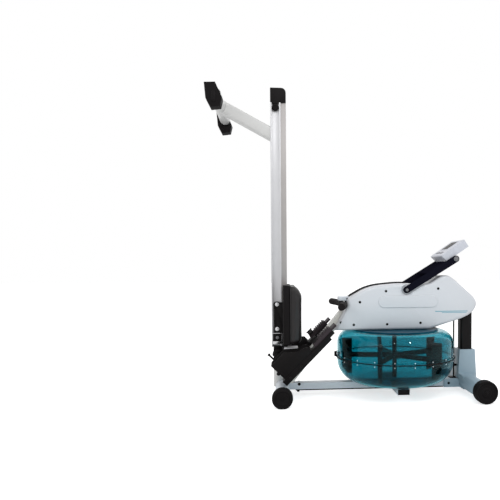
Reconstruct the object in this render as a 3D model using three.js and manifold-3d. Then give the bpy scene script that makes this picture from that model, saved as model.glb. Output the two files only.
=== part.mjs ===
// A water rowing machine with its sliding rail folded up, in millimetres, +Z up.
// X runs along the machine, from the rear foot to the front post, and Y across it.
// The sub-parts are worked out with X = 0 on the middle stabiliser's axis and the floor at Z = 0.
// The last lines move them so that the origin lies under the middle of the bounding box.
import * as THREE from "three";
import { mergeVertices } from "three/addons/utils/BufferGeometryUtils.js";
import { ConvexGeometry } from "three/addons/geometries/ConvexGeometry.js";
import Module from "manifold-3d";

const wasm = await Module();
wasm.setup();

// Clearances
const seatGap = 0.3;
const runGap = 1;
const cutOver = 2;
const tubeWall = 2;

// Middle stabiliser, its caps and the neck that carries the fold bracket
const midSpan = 470;
const midTubeDiameter = 60;
const midCapDiameter = 84;
const midCapWidth = 34;
const capSole = 2;
const capRim = 5;
const neckDiameter = 42;
const neckBack = 17;
const neckRise = 76;

// Main beam and its skid
const beamWidth = 40;
const beamHeight = 28;
const skidWidth = 30;
const skidHeight = 6;
const skidFootDiameter = 12;
const skidFootHeight = 8;

// Tank
const tankRadius = 256;
const tankStart = 244;
const tankWall = 4;
const tankHeight = 228;
const seamRise = 112;
const bowlCornerRadius = 96;
const bellCornerRadius = 56;
const flangeReach = 5;
const flangeHeight = 5;
const gasketHeight = 4;
const gasketReach = 3;
const lidReach = 190;
const lidHeight = 5;
const lidWall = 10;
const valveDiameter = 16;
const valveLength = 14;
const valveRise = 18;

// Cross arms under the tank
const armLength = 50;
const armHeight = 24;
const armReach = 170;

// Impeller
const shaftDiameter = 20;
const shaftFootGap = 10;
const hubDiameter = 64;
const hubHeight = 26;
const paddleCount = 5;
const paddleDepth = 44;
const paddleThickness = 6;
const paddleGap = 18;
const paddleLift = 22;
const paddleChamfer = 24;
const paddleHeight = 160;
const spokeHeight = 22;
const spokeThickness = 8;
const impellerTurn = 25;

// Strap drum on the shaft, inside the housing
const drumDiameter = 64;
const drumFlange = 8;
const drumHeight = 52;
const drumFlangeHeight = 4;
const drumLift = 14;

// Front stabiliser, wheels, cover and post
const frontGap = 67;
const frontSpan = 500;
const axleDiameter = 34;
const wheelDiameter = 96;
const wheelWidth = 38;
const wheelRim = 6;
const shroudDiameter = 72;
const sleeveFootLength = 84;
const sleeveTopLength = 70;
const sleeveWidth = 66;
const sleeveTop = 190;
const socketLength = 62;
const socketWall = 5;
const postLength = 52;
const postWidth = 50;
const postIn = 100;
const postRound = 10;
const skirtShare = 0.8;
const rodDiameter = 7;
const rodBack = 51;
const rodPlateLength = 44;
const rodPlateWidth = 30;
const rodPlateHeight = 4;

// Inclined tube
const inclineDepth = 36;
const inclineWidth = 40;
const inclineAngle = 51;
const inclineFoot = 10;
const inclineLength = 412;

// Housing
const housingStart = 223;
const housingNose = 25;
const housingHeight = 234;
const housingHalf = 80;
const housingRound = 14;
const housingWall = 4;
const splitGap = 0.3;
const pocketDepth = 7;
const pocketDiameter = 44;
const bevelSteps = 3;
const slotGap = 5;
const slotReachShare = 0.13;

// Console arm, its axle and the console
const lowPivotShare = 0.4976;
const lowPivotHeight = 172;
const armSpan = 254;
const armAngle = 31.5;
const barDepth = 29;
const barThickness = 7;
const barPlateShare = 0.46;
const barPlateGap = 3.16;
const barPlateThickness = 5;
const axleThinDiameter = 12;
const consoleLength = 119;
const consoleWidth = 158;
const consoleThickness = 36;
const consoleAngle = 34;
const consoleBack = 40;
const consoleRise = 12;
const consoleNose = 4;
const consoleLug = 20;
const lugApart = 60;
const crossTubeDiameter = 16;
const axleHeadDiameter = 18;
const axleHeadHeight = 4;
const armBossDiameter = 26;
const buttonLength = 12;
const buttonWidth = 34;
const buttonHeight = 4;
const buttonDepth = 6;
const buttonApart = 46;
const buttonIn = 14;
const buttonGap = 0.6;
const buttonTravel = 1.5;

// Handle, its rest and its strap
const handleHalf = 200;
const handleDiameter = 30;
const handleSweep = 24;
const handleStraight = 90;
const handleGap = 4;
const handleHeight = 109;
const handleSides = 12;
const handleSteps = 18;
const strapWidth = 40;
const strapThickness = 3;
const strapSpare = 190;
const restLength = 34;
const restWidth = 62;
const restHeight = 18;

// Footrests
const footAngle = 45.3;
const footStart = 18;
const footHeight = 77;
const footLength = 290;
const footThickness = 24;
const footWall = 4;
const footEndStep = 27;
const footEndRise = 10;
const footInner = 84;
const footWidth = 88;
const footBarDiameter = 16;
const footBarAlong = 120;
const heelAlong = 14;
const heelLength = 158;
const heelHeight = 80;
const heelLowLength = 76;
const heelLowHeight = 42;
const heelDip = 116;
const heelEndHeight = 32;
const heelEndDrop = 8;
const heelWallThickness = 5;
const toeAlong = 192;
const toeLength = 124;
const toeThickness = 16;
const toeTipThickness = 8;
const toePadLength = 98;
const toeInset = 6;
const toeRibCount = 6;
const toeRibHeight = 6;
const toeRibWidth = 5;
const strapAlong = 195;
const strapLength = 24;
const strapArch = 15;
const strapSide = 5;
const footStrapThickness = 3;

// Fold bracket, bolt and lock pin
const pivotRise = 62;
const pivotBack = 3;
const cheekLength = 45;
const cheekThickness = 5;
const cheekTopRise = 24;
const lugWidth = 38;
const lugDiameter = 36;
const foldBoltDiameter = 12;
const foldBoltHead = 20;
const foldBoltHeadHeight = 4;
const pinDiameter = 8;
const pinLength = 56;
const pinBack = 8;
const pinDrop = 25;
const pinAngle = 45;
const pinBossLength = 20;
const pinBossWidth = 16;
const pinKnobDiameter = 12;
const pinKnobLength = 8;

// Rail
const railFloor = 42;
const railLength = 1043;
const railWidth = 52;
const trackWidth = 40;
const railBack = 25;
const railSide = 44;
const railTrack = 23;
const grooveLip = 6;
const grooveDepth = 7;
const railWall = 3;
const flangePlate = 4;
const capHeight = 62;
const capRound = 20;
const bumperDiameter = 30;
const bumperReach = 5;
const bumperDrop = 21;

// Rear leg and feet
const legDepth = 52;
const legWidth = 44;
const legCorner = 10;
const legDrop = 128;
const legLift = 8;
const rearBack = 236;
const rearHeight = 1062;
const rearTubeDiameter = 46;
const rearSpan = 410;
const rearFootWidth = 45;
const rearFootBore = 20;
const soleLowShare = -0.57;
const soleHighShare = 0.74;
const foldAngle = 85;

// Seat, carriage and rollers
const seatWidth = 300;
const seatLength = 245;
const seatLift = 18;
const seatBase = 30;
const cushionHeight = 46;
const cushionSlopeShare = 0.5;
const cushionCorner = 24;
const cushionInset = 6;
const baseCorner = 5;
const carriageLength = 170;
const carriageWall = 4;
const carriageGap = 2;
const carriageUp = 10;
const seatUnderLength = 18;
const rollerWidth = 5.5;
const rollerPin = 7;
const rollerPinProud = 3;
const rollerLowUp = 55;
const rollerHighUp = 158;

// Smoothness
const roundSides = 24;
const smallSides = 16;
const tankSides = 44;
const arcSteps = 5;
const curveSegments = 2;
const mergeShare = 1e-6;

// Places worked out from the sizes
const midZ = midCapDiameter / 2 - capSole;
const beamFloor = midZ - beamHeight / 2;
const beamTop = beamFloor + beamHeight;
const neckTop = midZ + neckRise;
const tankX = tankStart + tankRadius;
const frontX = tankX + tankRadius + frontGap;
const housingLength = frontX + housingNose - housingStart;
const tankFloor = beamTop + seatGap;
const tankTop = tankFloor + tankHeight;
const seamZ = tankFloor + seamRise;
const lidFloor = tankTop + seatGap;
const housingFloor = lidFloor + lidHeight + seatGap;
const housingTop = housingFloor + housingHeight;
const wheelZ = (wheelDiameter / 2) * Math.cos(Math.PI / roundSides);
const socketStart = frontX - sleeveFootLength / 2 - socketLength;
const pivotX = -neckBack - pivotBack;
const pivotZ = neckTop + pivotRise;
const railX = pivotX - railBack;
const railZ = pivotZ + railFloor + seatGap;
const trackX = railX + railSide;
const railFace = trackX + railTrack;
const railTop = railZ + railLength;
const lowPivotX = housingStart + lowPivotShare * housingLength;
const lowPivotZ = housingFloor + lowPivotHeight;
const topPivotX = lowPivotX + armSpan * Math.cos(THREE.MathUtils.degToRad(armAngle));
const topPivotZ = lowPivotZ + armSpan * Math.sin(THREE.MathUtils.degToRad(armAngle));
const barInner = housingHalf + runGap;

// Materials
function finish(colour, roughness, metalness) {
  return new THREE.MeshStandardMaterial({ color: colour, roughness, metalness });
}
const whitePaint = finish(0xdfe5ea, 0.4, 0.0);
const whitePlastic = finish(0xe3e8ee, 0.35, 0.0);
const creamPaint = finish(0xe9e7df, 0.4, 0.0);
const blackPaint = finish(0x1c1a1b, 0.45, 0.2);
const blackPlastic = finish(0x211e1f, 0.55, 0.0);
const blackRubber = finish(0x1b1a1a, 0.8, 0.0);
const blackFoam = finish(0x29262a, 0.9, 0.0);
const blackWeb = finish(0x17171a, 0.85, 0.0);
const seatLeather = finish(0x2a2628, 0.6, 0.0);
const railMetal = finish(0xc3c2bf, 0.35, 0.8);
const boltSteel = finish(0xb9babc, 0.3, 1.0);
const tealClear = finish(0x2da3b8, 0.1, 0.0);
const darkPaddle = finish(0x14212a, 0.5, 0.0);

// A closed geometry as a solid that can be joined and cut
function solid(geometry) {
  const loose = geometry.index ? geometry.toNonIndexed() : geometry;
  const bare = new THREE.BufferGeometry();
  bare.setAttribute("position", loose.getAttribute("position"));
  bare.computeBoundingSphere();
  const merged = mergeVertices(bare, bare.boundingSphere.radius * mergeShare);
  const vertProperties = merged.attributes.position.array;
  const triVerts = new Uint32Array(merged.index.array);
  return new wasm.Manifold(new wasm.Mesh({ numProp: 3, vertProperties, triVerts }));
}

// A solid back as a three.js geometry
function surface(made) {
  const mesh = made.getMesh();
  const geometry = new THREE.BufferGeometry();
  geometry.setAttribute("position", new THREE.BufferAttribute(mesh.vertProperties, mesh.numProp));
  geometry.setIndex(new THREE.BufferAttribute(mesh.triVerts, 1));
  geometry.computeVertexNormals();
  return geometry;
}

const machine = new THREE.Group();

// Adds one named piece to the machine
function piece(name, made, material) {
  const mesh = new THREE.Mesh(surface(made), material);
  mesh.name = name;
  machine.add(mesh);
}

// A box between two limits on each axis
function block([x0, x1], [y0, y1], [z0, z1]) {
  const box = new THREE.BoxGeometry(x1 - x0, y1 - y0, z1 - z0);
  return solid(box.translate((x0 + x1) / 2, (y0 + y1) / 2, (z0 + z1) / 2));
}

// A shape drawn in X and Z, run across Y from y0 to y1
function across(shape, y0, y1, options = {}) {
  const run = new THREE.ExtrudeGeometry(shape, { depth: y1 - y0, bevelEnabled: false, curveSegments, ...options });
  return solid(run.rotateX(Math.PI / 2).translate(0, y1, 0));
}

// A shape drawn in X and Y, run up Z from z0 to z1
function upward(shape, z0, z1) {
  const run = new THREE.ExtrudeGeometry(shape, { depth: z1 - z0, bevelEnabled: false, curveSegments });
  return solid(run.translate(0, 0, z0));
}

// A shape drawn in Y and Z, run along X from x0 to x1
function alongX(shape, x0, x1) {
  const run = new THREE.ExtrudeGeometry(shape, { depth: x1 - x0, bevelEnabled: false, curveSegments });
  return solid(run.rotateX(Math.PI / 2).rotateZ(Math.PI / 2).translate(x0, 0, 0));
}

function outline(points) {
  return new THREE.Shape(points.map(([u, v]) => new THREE.Vector2(u, v)));
}

// A rectangle with rounded corners about a centre
function roundedBox(u, v, length, height, radius) {
  const shape = new THREE.Shape();
  const [u0, u1, v0, v1] = [u - length / 2, u + length / 2, v - height / 2, v + height / 2];
  shape.moveTo(u0 + radius, v0);
  shape.lineTo(u1 - radius, v0);
  shape.absarc(u1 - radius, v0 + radius, radius, -Math.PI / 2, 0, false);
  shape.absarc(u1 - radius, v1 - radius, radius, 0, Math.PI / 2, false);
  shape.absarc(u0 + radius, v1 - radius, radius, Math.PI / 2, Math.PI, false);
  shape.absarc(u0 + radius, v0 + radius, radius, Math.PI, 1.5 * Math.PI, false);
  return shape;
}

// Cylinders along Y and Z, with a flat face turned down where a piece stands on it
function barY(x, z, radius, y0, y1, sides = roundSides, end = radius) {
  const bar = new THREE.CylinderGeometry(end, radius, y1 - y0, sides);
  bar.rotateY(Math.PI / sides);
  return solid(bar.translate(x, (y0 + y1) / 2, z));
}
function barZ(x, y, radius, z0, z1, sides = roundSides, end = radius) {
  const bar = new THREE.CylinderGeometry(end, radius, z1 - z0, sides);
  bar.rotateX(Math.PI / 2);
  return solid(bar.translate(x, y, (z0 + z1) / 2));
}

// A profile of radius and height, turned about Z
function turned(points, sides) {
  const profile = points.map(([radius, height]) => new THREE.Vector2(radius, height));
  return solid(new THREE.LatheGeometry(profile, sides).rotateX(Math.PI / 2));
}

// A solid turned about Y by an angle in degrees, positive from +X towards +Z, then moved
function leaned(made, angle, x, z) {
  return made.rotate([0, -angle, 0]).translate([x, 0, z]);
}

// The same solid on the other side of the middle plane
function mirrored(made) {
  return made.mirror([0, 1, 0]);
}

function arcPoints(u, v, radius, from, to, steps = arcSteps) {
  const points = [];
  for (let step = 0; step <= steps; step += 1) {
    const angle = THREE.MathUtils.degToRad(from + ((to - from) * step) / steps);
    points.push([u + radius * Math.cos(angle), v + radius * Math.sin(angle)]);
  }
  return points;
}

// Middle stabiliser: tube, caps with a flat sole, and the neck
function makeMiddle() {
  const half = midSpan / 2;
  const tubeEnd = half - midCapWidth + capRim;
  const tube = barY(0, midZ, midTubeDiameter / 2, -tubeEnd, tubeEnd);
  const tubeBore = barY(0, midZ, midTubeDiameter / 2 - tubeWall, -midSpan, midSpan);
  piece("mid_tube", tube.subtract(tubeBore), whitePaint);

  const radius = midCapDiameter / 2;
  const body = barY(0, midZ, radius, tubeEnd - capRim, half - capRim);
  const face = barY(0, midZ, radius, half - capRim, half, roundSides, radius - capRim);
  const bore = barY(0, midZ, midTubeDiameter / 2 + seatGap, tubeEnd - capRim - cutOver, tubeEnd + seatGap);
  const floor = block([-radius, radius], [0, half + cutOver], [-radius, 0]);
  const cap = body.add(face).subtract(bore).subtract(floor);
  piece("mid_cap_far", cap, blackRubber);
  piece("mid_cap_near", mirrored(cap), blackRubber);

  const neck = barZ(-neckBack, 0, neckDiameter / 2, midZ, neckTop);
  const clear = barY(0, midZ, midTubeDiameter / 2 + seatGap, -neckDiameter, neckDiameter);
  piece("mid_neck", neck.subtract(clear), whitePaint);
}

// Main beam from the middle stabiliser into the front cover, with the skid under it
function makeBeam() {
  const beamEnd = socketStart + socketLength / 2;
  const beam = block([0, beamEnd], [-beamWidth / 2, beamWidth / 2], [beamFloor, beamTop]);
  const tube = barY(0, midZ, midTubeDiameter / 2 + seatGap, -beamWidth, beamWidth);
  const innerHalf = beamWidth / 2 - tubeWall;
  const hollow = block(
    [-cutOver, beamEnd + cutOver],
    [-innerHalf, innerHalf],
    [beamFloor + tubeWall, beamTop - tubeWall],
  );
  piece("main_beam", beam.subtract(tube).subtract(hollow), whitePaint);

  const skidTop = beamFloor - seatGap;
  const skidStart = midCapDiameter / 2 + skidWidth / 2;
  const skidEnd = socketStart - runGap;
  const skid = block([skidStart, skidEnd], [-skidWidth / 2, skidWidth / 2], [skidTop - skidHeight, skidTop]);
  const foot = barZ(
    skidStart + skidFootDiameter,
    0,
    skidFootDiameter / 2,
    skidTop - skidHeight - skidFootHeight,
    skidTop - skidHeight / 2,
    smallSides,
  );
  piece("beam_skid", skid.add(foot), blackPaint);
}

// Cross arms under the tank, one on each side of the beam
function makeTankArms() {
  const near = beamWidth / 2 + seatGap;
  const floor = midZ - armHeight / 2;
  const arm = block([tankX - armLength / 2, tankX + armLength / 2], [near, armReach], [floor, floor + armHeight]);
  const hollow = block(
    [tankX - armLength / 2 + tubeWall, tankX + armLength / 2 - tubeWall],
    [0, armReach + cutOver],
    [floor + tubeWall, floor + armHeight - tubeWall],
  );
  const tube = arm.subtract(hollow);
  piece("tank_arm_far", tube, whitePaint);
  piece("tank_arm_near", mirrored(tube), whitePaint);
}

// Front cover with its wheels and the axle, the post and the stay rod
function makeFront() {
  const wheelIn = frontSpan / 2 - wheelWidth;
  const coverEnd = wheelIn - runGap;
  const radius = shroudDiameter / 2;
  const shroud = barY(frontX, wheelZ, radius, -coverEnd, coverEnd);
  const sleeveFloor = wheelZ + radius / 2;
  const corners = [];
  for (const side of [-1, 1]) {
    for (const end of [-1, 1]) {
      const foot = [frontX + (end * sleeveFootLength) / 2, (side * sleeveWidth) / 2];
      corners.push(new THREE.Vector3(...foot, sleeveFloor));
      const top = [frontX + (end * sleeveTopLength) / 2, (side * sleeveWidth) / 2];
      corners.push(new THREE.Vector3(...top, sleeveTop));
    }
  }
  const sleeve = solid(new ConvexGeometry(corners));
  const skirt = [];
  for (const side of [-1, 1]) {
    const wide = side * sleeveWidth;
    for (const end of [-1, 1]) {
      const shoulder = [frontX + (end * sleeveFootLength) / 2, (side * sleeveWidth) / 2];
      skirt.push(new THREE.Vector3(...shoulder, sleeveFloor + radius / 2));
      skirt.push(new THREE.Vector3(frontX + end * radius * skirtShare, wide, wheelZ + radius * skirtShare));
      skirt.push(new THREE.Vector3(frontX + end * radius * skirtShare, wide, wheelZ - radius * skirtShare));
    }
  }
  const flare = solid(new ConvexGeometry(skirt));
  const socketHalf = beamWidth / 2 + seatGap + socketWall;
  const socketTop = beamTop + seatGap + socketWall;
  const socketFloor = beamFloor - seatGap - socketWall;
  const socket = block([socketStart, frontX], [-socketHalf, socketHalf], [socketFloor, socketTop]);
  const beamHalf = beamWidth / 2 + seatGap;
  const beamEnd = socketStart + socketLength / 2 + seatGap;
  const beamHole = block(
    [socketStart - cutOver, beamEnd],
    [-beamHalf, beamHalf],
    [beamFloor - seatGap, beamTop + seatGap],
  );
  const axleHole = barY(frontX, wheelZ, axleDiameter / 2 + seatGap, -frontSpan, frontSpan, smallSides);
  const postFloor = wheelZ + axleDiameter / 2 + seatGap + socketWall;
  const postHole = block(
    [frontX - postLength / 2 - seatGap, frontX + postLength / 2 + seatGap],
    [-postWidth / 2 - seatGap, postWidth / 2 + seatGap],
    [postFloor, sleeveTop + cutOver],
  );
  const cover = shroud.add(sleeve).add(flare).add(socket).subtract(beamHole).subtract(axleHole).subtract(postHole);
  piece("front_cover", cover, whitePlastic);

  const axleEnd = frontSpan / 2 - wheelWidth / 2;
  piece("front_axle", barY(frontX, wheelZ, axleDiameter / 2, -axleEnd, axleEnd, smallSides), blackPaint);

  const wheelRadius = wheelDiameter / 2;
  const tyre = barY(frontX, wheelZ, wheelRadius, wheelIn, frontSpan / 2 - wheelRim);
  const face = barY(
    frontX,
    wheelZ,
    wheelRadius,
    frontSpan / 2 - wheelRim,
    frontSpan / 2,
    roundSides,
    wheelRadius - wheelRim,
  );
  const bore = barY(frontX, wheelZ, axleDiameter / 2 + seatGap, wheelIn - cutOver, axleEnd + seatGap, smallSides);
  const wheel = tyre.add(face).subtract(bore);
  piece("wheel_far", wheel, blackPlastic);
  piece("wheel_near", mirrored(wheel), blackPlastic);

  const postTop = housingFloor + postIn;
  const post = upward(
    roundedBox(frontX, 0, postLength, postWidth, postRound),
    postFloor + seatGap,
    postTop,
  );
  const postBore = block(
    [frontX - postLength / 2 + postRound, frontX + postLength / 2 - postRound],
    [-postWidth / 2 + 2 * tubeWall, postWidth / 2 - 2 * tubeWall],
    [postFloor, postTop + cutOver],
  );
  piece("front_post", post.subtract(postBore), blackPaint);

  const rodX = frontX - rodBack;
  const plateFloor = socketTop + seatGap;
  const plate = block(
    [rodX - rodPlateLength / 2, rodX + rodDiameter],
    [-rodPlateWidth / 2, rodPlateWidth / 2],
    [plateFloor, plateFloor + rodPlateHeight],
  );
  const rodTop = housingFloorAt(rodX - rodDiameter / 2) - seatGap;
  const rod = barZ(rodX, 0, rodDiameter / 2, plateFloor, rodTop, smallSides);
  piece("stay_rod", plate.add(rod), blackPaint);
}

// Tank: bowl, bell, the gasket between their flanges, the lid and the fill valve
function makeTank() {
  const seamLow = seamZ - gasketHeight / 2 - seatGap;
  const seamHigh = seamZ + gasketHeight / 2 + seatGap;
  const flange = tankRadius + flangeReach;
  const inner = tankRadius - tankWall;
  const bowlAt = tankRadius - bowlCornerRadius;
  const bowlZ = tankFloor + bowlCornerRadius;
  const bowl = turned(
    [
      [0, tankFloor],
      ...arcPoints(bowlAt, bowlZ, bowlCornerRadius, -90, 0),
      [tankRadius, seamLow - flangeHeight],
      [flange, seamLow - flangeHeight],
      [flange, seamLow],
      [inner, seamLow],
      ...arcPoints(bowlAt, bowlZ, bowlCornerRadius - tankWall, 0, -90),
      [0, tankFloor + tankWall],
    ],
    tankSides,
  );
  piece("tank_bowl", bowl.translate([tankX, 0, 0]), tealClear);

  const bellAt = tankRadius - bellCornerRadius;
  const bellZ = tankTop - bellCornerRadius;
  const mouth = shaftDiameter / 2 + lidWall;
  const bell = turned(
    [
      [mouth, tankTop - tankWall],
      ...arcPoints(bellAt, bellZ, bellCornerRadius - tankWall, 90, 0),
      [inner, seamHigh],
      [flange, seamHigh],
      [flange, seamHigh + flangeHeight],
      [tankRadius, seamHigh + flangeHeight],
      ...arcPoints(bellAt, bellZ, bellCornerRadius, 0, 90),
      [mouth, tankTop],
      [mouth, tankTop - tankWall],
    ],
    tankSides,
  );
  piece("tank_bell", bell.translate([tankX, 0, 0]), tealClear);

  const gasketLow = seamZ - gasketHeight / 2;
  const gasketHigh = seamZ + gasketHeight / 2;
  const gasket = turned(
    [
      [inner, gasketLow],
      [flange + gasketReach, gasketLow],
      [flange + gasketReach, gasketHigh],
      [inner, gasketHigh],
      [inner, gasketLow],
    ],
    tankSides,
  );
  piece("tank_gasket", gasket.translate([tankX, 0, 0]), blackRubber);

  const bore = shaftDiameter / 2 + seatGap;
  const lid = turned(
    [
      [bore, lidFloor],
      [lidReach, lidFloor],
      [lidReach, lidFloor + lidHeight],
      [bore, lidFloor + lidHeight],
      [bore, lidFloor],
    ],
    tankSides,
  );
  piece("tank_lid", lid.translate([tankX, 0, 0]), blackPlastic);

  const valve = new THREE.CylinderGeometry(valveDiameter / 2, valveDiameter / 2, valveLength, smallSides);
  valve.rotateZ(Math.PI / 2);
  valve.translate(tankX - tankRadius - seatGap - valveLength / 2, 0, seamHigh + valveRise);
  piece("tank_valve", solid(valve), blackPlastic);
}

// Impeller: shaft, hub, spokes and paddles, and the strap drum above the lid
function makeDrive() {
  const inFloor = tankFloor + tankWall;
  const shaftTop = housingFloor + housingWall + drumLift + drumHeight + runGap;
  const shaft = barZ(tankX, 0, shaftDiameter / 2, inFloor + shaftFootGap, shaftTop, roundSides);
  const hub = barZ(tankX, 0, hubDiameter / 2, seamZ - hubHeight / 2, seamZ + hubHeight / 2, roundSides);
  const outer = tankRadius - tankWall - paddleGap;
  const inner = outer - paddleDepth;
  const low = inFloor + paddleLift;
  const high = low + paddleHeight;
  const blade = outline([
    [inner, low],
    [outer - paddleChamfer, low],
    [outer, low + paddleChamfer],
    [outer, high],
    [inner, high],
  ]);
  let impeller = shaft.add(hub);
  for (let arm = 0; arm < paddleCount; arm += 1) {
    const paddle = across(blade, -paddleThickness / 2, paddleThickness / 2);
    const spoke = block(
      [0, inner + paddleThickness],
      [-spokeThickness / 2, spokeThickness / 2],
      [seamZ - spokeHeight / 2, seamZ + spokeHeight / 2],
    );
    const angle = impellerTurn + (360 * arm) / paddleCount;
    impeller = impeller.add(paddle.add(spoke).rotate([0, 0, angle]).translate([tankX, 0, 0]));
  }
  piece("impeller", impeller, darkPaddle);

  const drumFloor = housingFloor + housingWall + drumLift;
  const core = drumDiameter / 2;
  const bore = shaftDiameter / 2 + seatGap;
  const drum = turned(
    [
      [bore, drumFloor],
      [core + drumFlange, drumFloor],
      [core + drumFlange, drumFloor + drumFlangeHeight],
      [core, drumFloor + drumFlangeHeight],
      [core, drumFloor + drumHeight - drumFlangeHeight],
      [core + drumFlange, drumFloor + drumHeight - drumFlangeHeight],
      [core + drumFlange, drumFloor + drumHeight],
      [bore, drumFloor + drumHeight],
      [bore, drumFloor],
    ],
    roundSides,
  );
  piece("strap_drum", drum.translate([tankX, 0, 0]), blackPlastic);
}

// Outline of the housing as shares of its length and height, from the low left end round
const housingFloorShares = [
  [0, 0],
  [0.66, 0],
  [0.76, 0.085],
  [0.89, 0.19],
];
const housingNoseShares = [
  [0.945, 0.26],
  [0.983, 0.35],
  [1, 0.46],
  [0.985, 0.58],
  [0.925, 0.73],
  [0.85, 0.905],
  [0.81, 0.98],
  [0.78, 1],
  [0.745, 0.985],
  [0.71, 0.93],
  [0.67, 0.862],
];
const housingTopShares = [
  [0.61, 0.838],
  [0.48, 0.853],
  [0.38, 0.84],
  [0.29, 0.812],
  [0.215, 0.755],
  [0.155, 0.67],
  [0.1, 0.585],
];
const housingEndShares = [
  [0.093, 0.54],
  [0.093, 0.46],
];

function housingPoint([along, up]) {
  return new THREE.Vector2(housingStart + along * housingLength, housingFloor + up * housingHeight);
}

function housingOutline() {
  const shape = new THREE.Shape();
  const floor = housingFloorShares.map(housingPoint);
  const nose = housingNoseShares.map(housingPoint);
  const top = housingTopShares.map(housingPoint);
  shape.moveTo(floor[0].x, floor[0].y);
  floor.slice(1).forEach((point) => shape.lineTo(point.x, point.y));
  shape.splineThru(nose);
  shape.splineThru(top);
  housingEndShares.map(housingPoint).forEach((point) => shape.lineTo(point.x, point.y));
  return shape;
}

// Height of the housing's underside at a place along X
function housingFloorAt(x) {
  const points = [...housingFloorShares, housingNoseShares[0]].map(housingPoint);
  const index = points.findIndex((point) => point.x > x);
  const [before, after] = [points[index - 1], points[index]];
  return before.y + ((after.y - before.y) * (x - before.x)) / (after.x - before.x);
}

// Inclined tube from the middle stabiliser and the beam up into the housing
function inclineSolid(clear) {
  const half = inclineWidth / 2 + clear;
  const depth = inclineDepth / 2 + clear;
  const tube = block([0, inclineLength + clear], [-half, half], [-depth, depth]);
  return leaned(tube, inclineAngle, inclineFoot, midZ);
}

function makeIncline() {
  const beamHalf = beamWidth / 2 + seatGap;
  const beamClear = block(
    [-midCapDiameter, midSpan],
    [-beamHalf, beamHalf],
    [-midCapDiameter, beamTop + seatGap],
  );
  const tubeClear = barY(0, midZ, midTubeDiameter / 2 + seatGap, -inclineWidth, inclineWidth);
  const barHole = footBarSolid(seatGap);
  const bore = block(
    [-cutOver, inclineLength + cutOver],
    [-inclineWidth / 2 + tubeWall, inclineWidth / 2 - tubeWall],
    [-inclineDepth / 2 + tubeWall, inclineDepth / 2 - tubeWall],
  );
  const hollow = leaned(bore, inclineAngle, inclineFoot, midZ);
  const tube = inclineSolid(0).subtract(hollow).subtract(beamClear).subtract(tubeClear).subtract(barHole);
  piece("incline_tube", tube, creamPaint);
}

// Housing: two hollow halves with a pocket for each bar of the console arm
function housingSolid(inset) {
  const side = housingHalf - inset;
  return across(housingOutline(), housingRound - side, side - housingRound, {
    bevelEnabled: true,
    bevelThickness: housingRound,
    bevelSize: housingRound,
    bevelOffset: -housingRound - inset,
    bevelSegments: bevelSteps,
  });
}

function pocketSolid(radius, y0, y1) {
  const round = barY(lowPivotX, lowPivotZ, radius, y0, y1);
  const way = block([0, armSpan], [y0, y1], [-radius, radius]);
  return round.add(leaned(way, armAngle, lowPivotX, lowPivotZ));
}

function makeHousing() {
  const pocketIn = housingHalf - pocketDepth;
  const pad = pocketSolid(pocketDiameter / 2 + housingWall, pocketIn - housingWall, housingHalf + cutOver);
  const pocket = pocketSolid(pocketDiameter / 2, pocketIn, housingHalf + cutOver);
  const hollow = housingSolid(housingWall).subtract(pad);
  const shaftHole = barZ(tankX, 0, shaftDiameter / 2 + lidWall, lidFloor, housingFloor + housingWall + cutOver);
  const postHole = upward(
    roundedBox(frontX, 0, postLength + 2 * seatGap, postWidth + 2 * seatGap, postRound),
    sleeveTop,
    housingFloor + postIn + seatGap,
  );
  const axleHole = barY(lowPivotX, lowPivotZ, axleThinDiameter / 2 + seatGap, -housingHalf, housingHalf, smallSides);
  const slotHalf = strapWidth / 2 + slotGap;
  const slotZ = housingFloor + handleHeight;
  const slot = block(
    [housingStart, housingStart + slotReachShare * housingLength],
    [-slotHalf, slotHalf],
    [slotZ - strapThickness / 2 - slotGap, slotZ + strapThickness / 2 + slotGap],
  );
  const far = block([0, frontX * 2], [splitGap / 2, housingHalf + cutOver], [0, housingTop + cutOver]);
  const half = housingSolid(0)
    .intersect(far)
    .subtract(hollow)
    .subtract(pocket)
    .subtract(shaftHole)
    .subtract(postHole)
    .subtract(axleHole)
    .subtract(slot)
    .subtract(inclineSolid(seatGap));
  piece("housing_far", half, whitePlastic);
  piece("housing_near", mirrored(half), whitePlastic);
}

// Console arm on its axle, and the console on the arm's cross tube
function makeConsoleArm() {
  const barOuter = barInner + barThickness;
  const depth = barDepth / 2;
  const bar = block([0, armSpan], [barInner, barOuter], [-depth, depth])
    .add(barY(0, 0, depth, barInner, barOuter))
    .add(barY(armSpan, 0, depth, barInner, barOuter));
  const boss = barY(0, 0, armBossDiameter / 2, housingHalf - pocketDepth + seatGap, barOuter);
  const side = bar.add(boss);
  const plateFrom = armSpan * barPlateShare;
  const plateTo = armSpan - consoleBack - barPlateGap;
  const plate = block(
    [plateFrom, plateTo],
    [-barInner - cutOver, barInner + cutOver],
    [depth - barPlateThickness, depth],
  );
  const cross = barY(armSpan, 0, crossTubeDiameter / 2, -barInner - cutOver, barInner + cutOver, smallSides);
  const bore = barY(0, 0, axleThinDiameter / 2 + seatGap, -frontSpan, frontSpan, smallSides);
  const arm = side.add(mirrored(side)).add(plate).add(cross).subtract(bore);
  piece("console_arm", leaned(arm, armAngle, lowPivotX, lowPivotZ), blackPaint);

  const axleEnd = barOuter + runGap;
  const axle = barY(lowPivotX, lowPivotZ, axleThinDiameter / 2, -axleEnd, axleEnd, smallSides);
  const head = barY(lowPivotX, lowPivotZ, axleHeadDiameter / 2, axleEnd, axleEnd + axleHeadHeight, smallSides);
  piece("arm_axle", axle.add(head).add(mirrored(head)), boltSteel);
}

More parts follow.
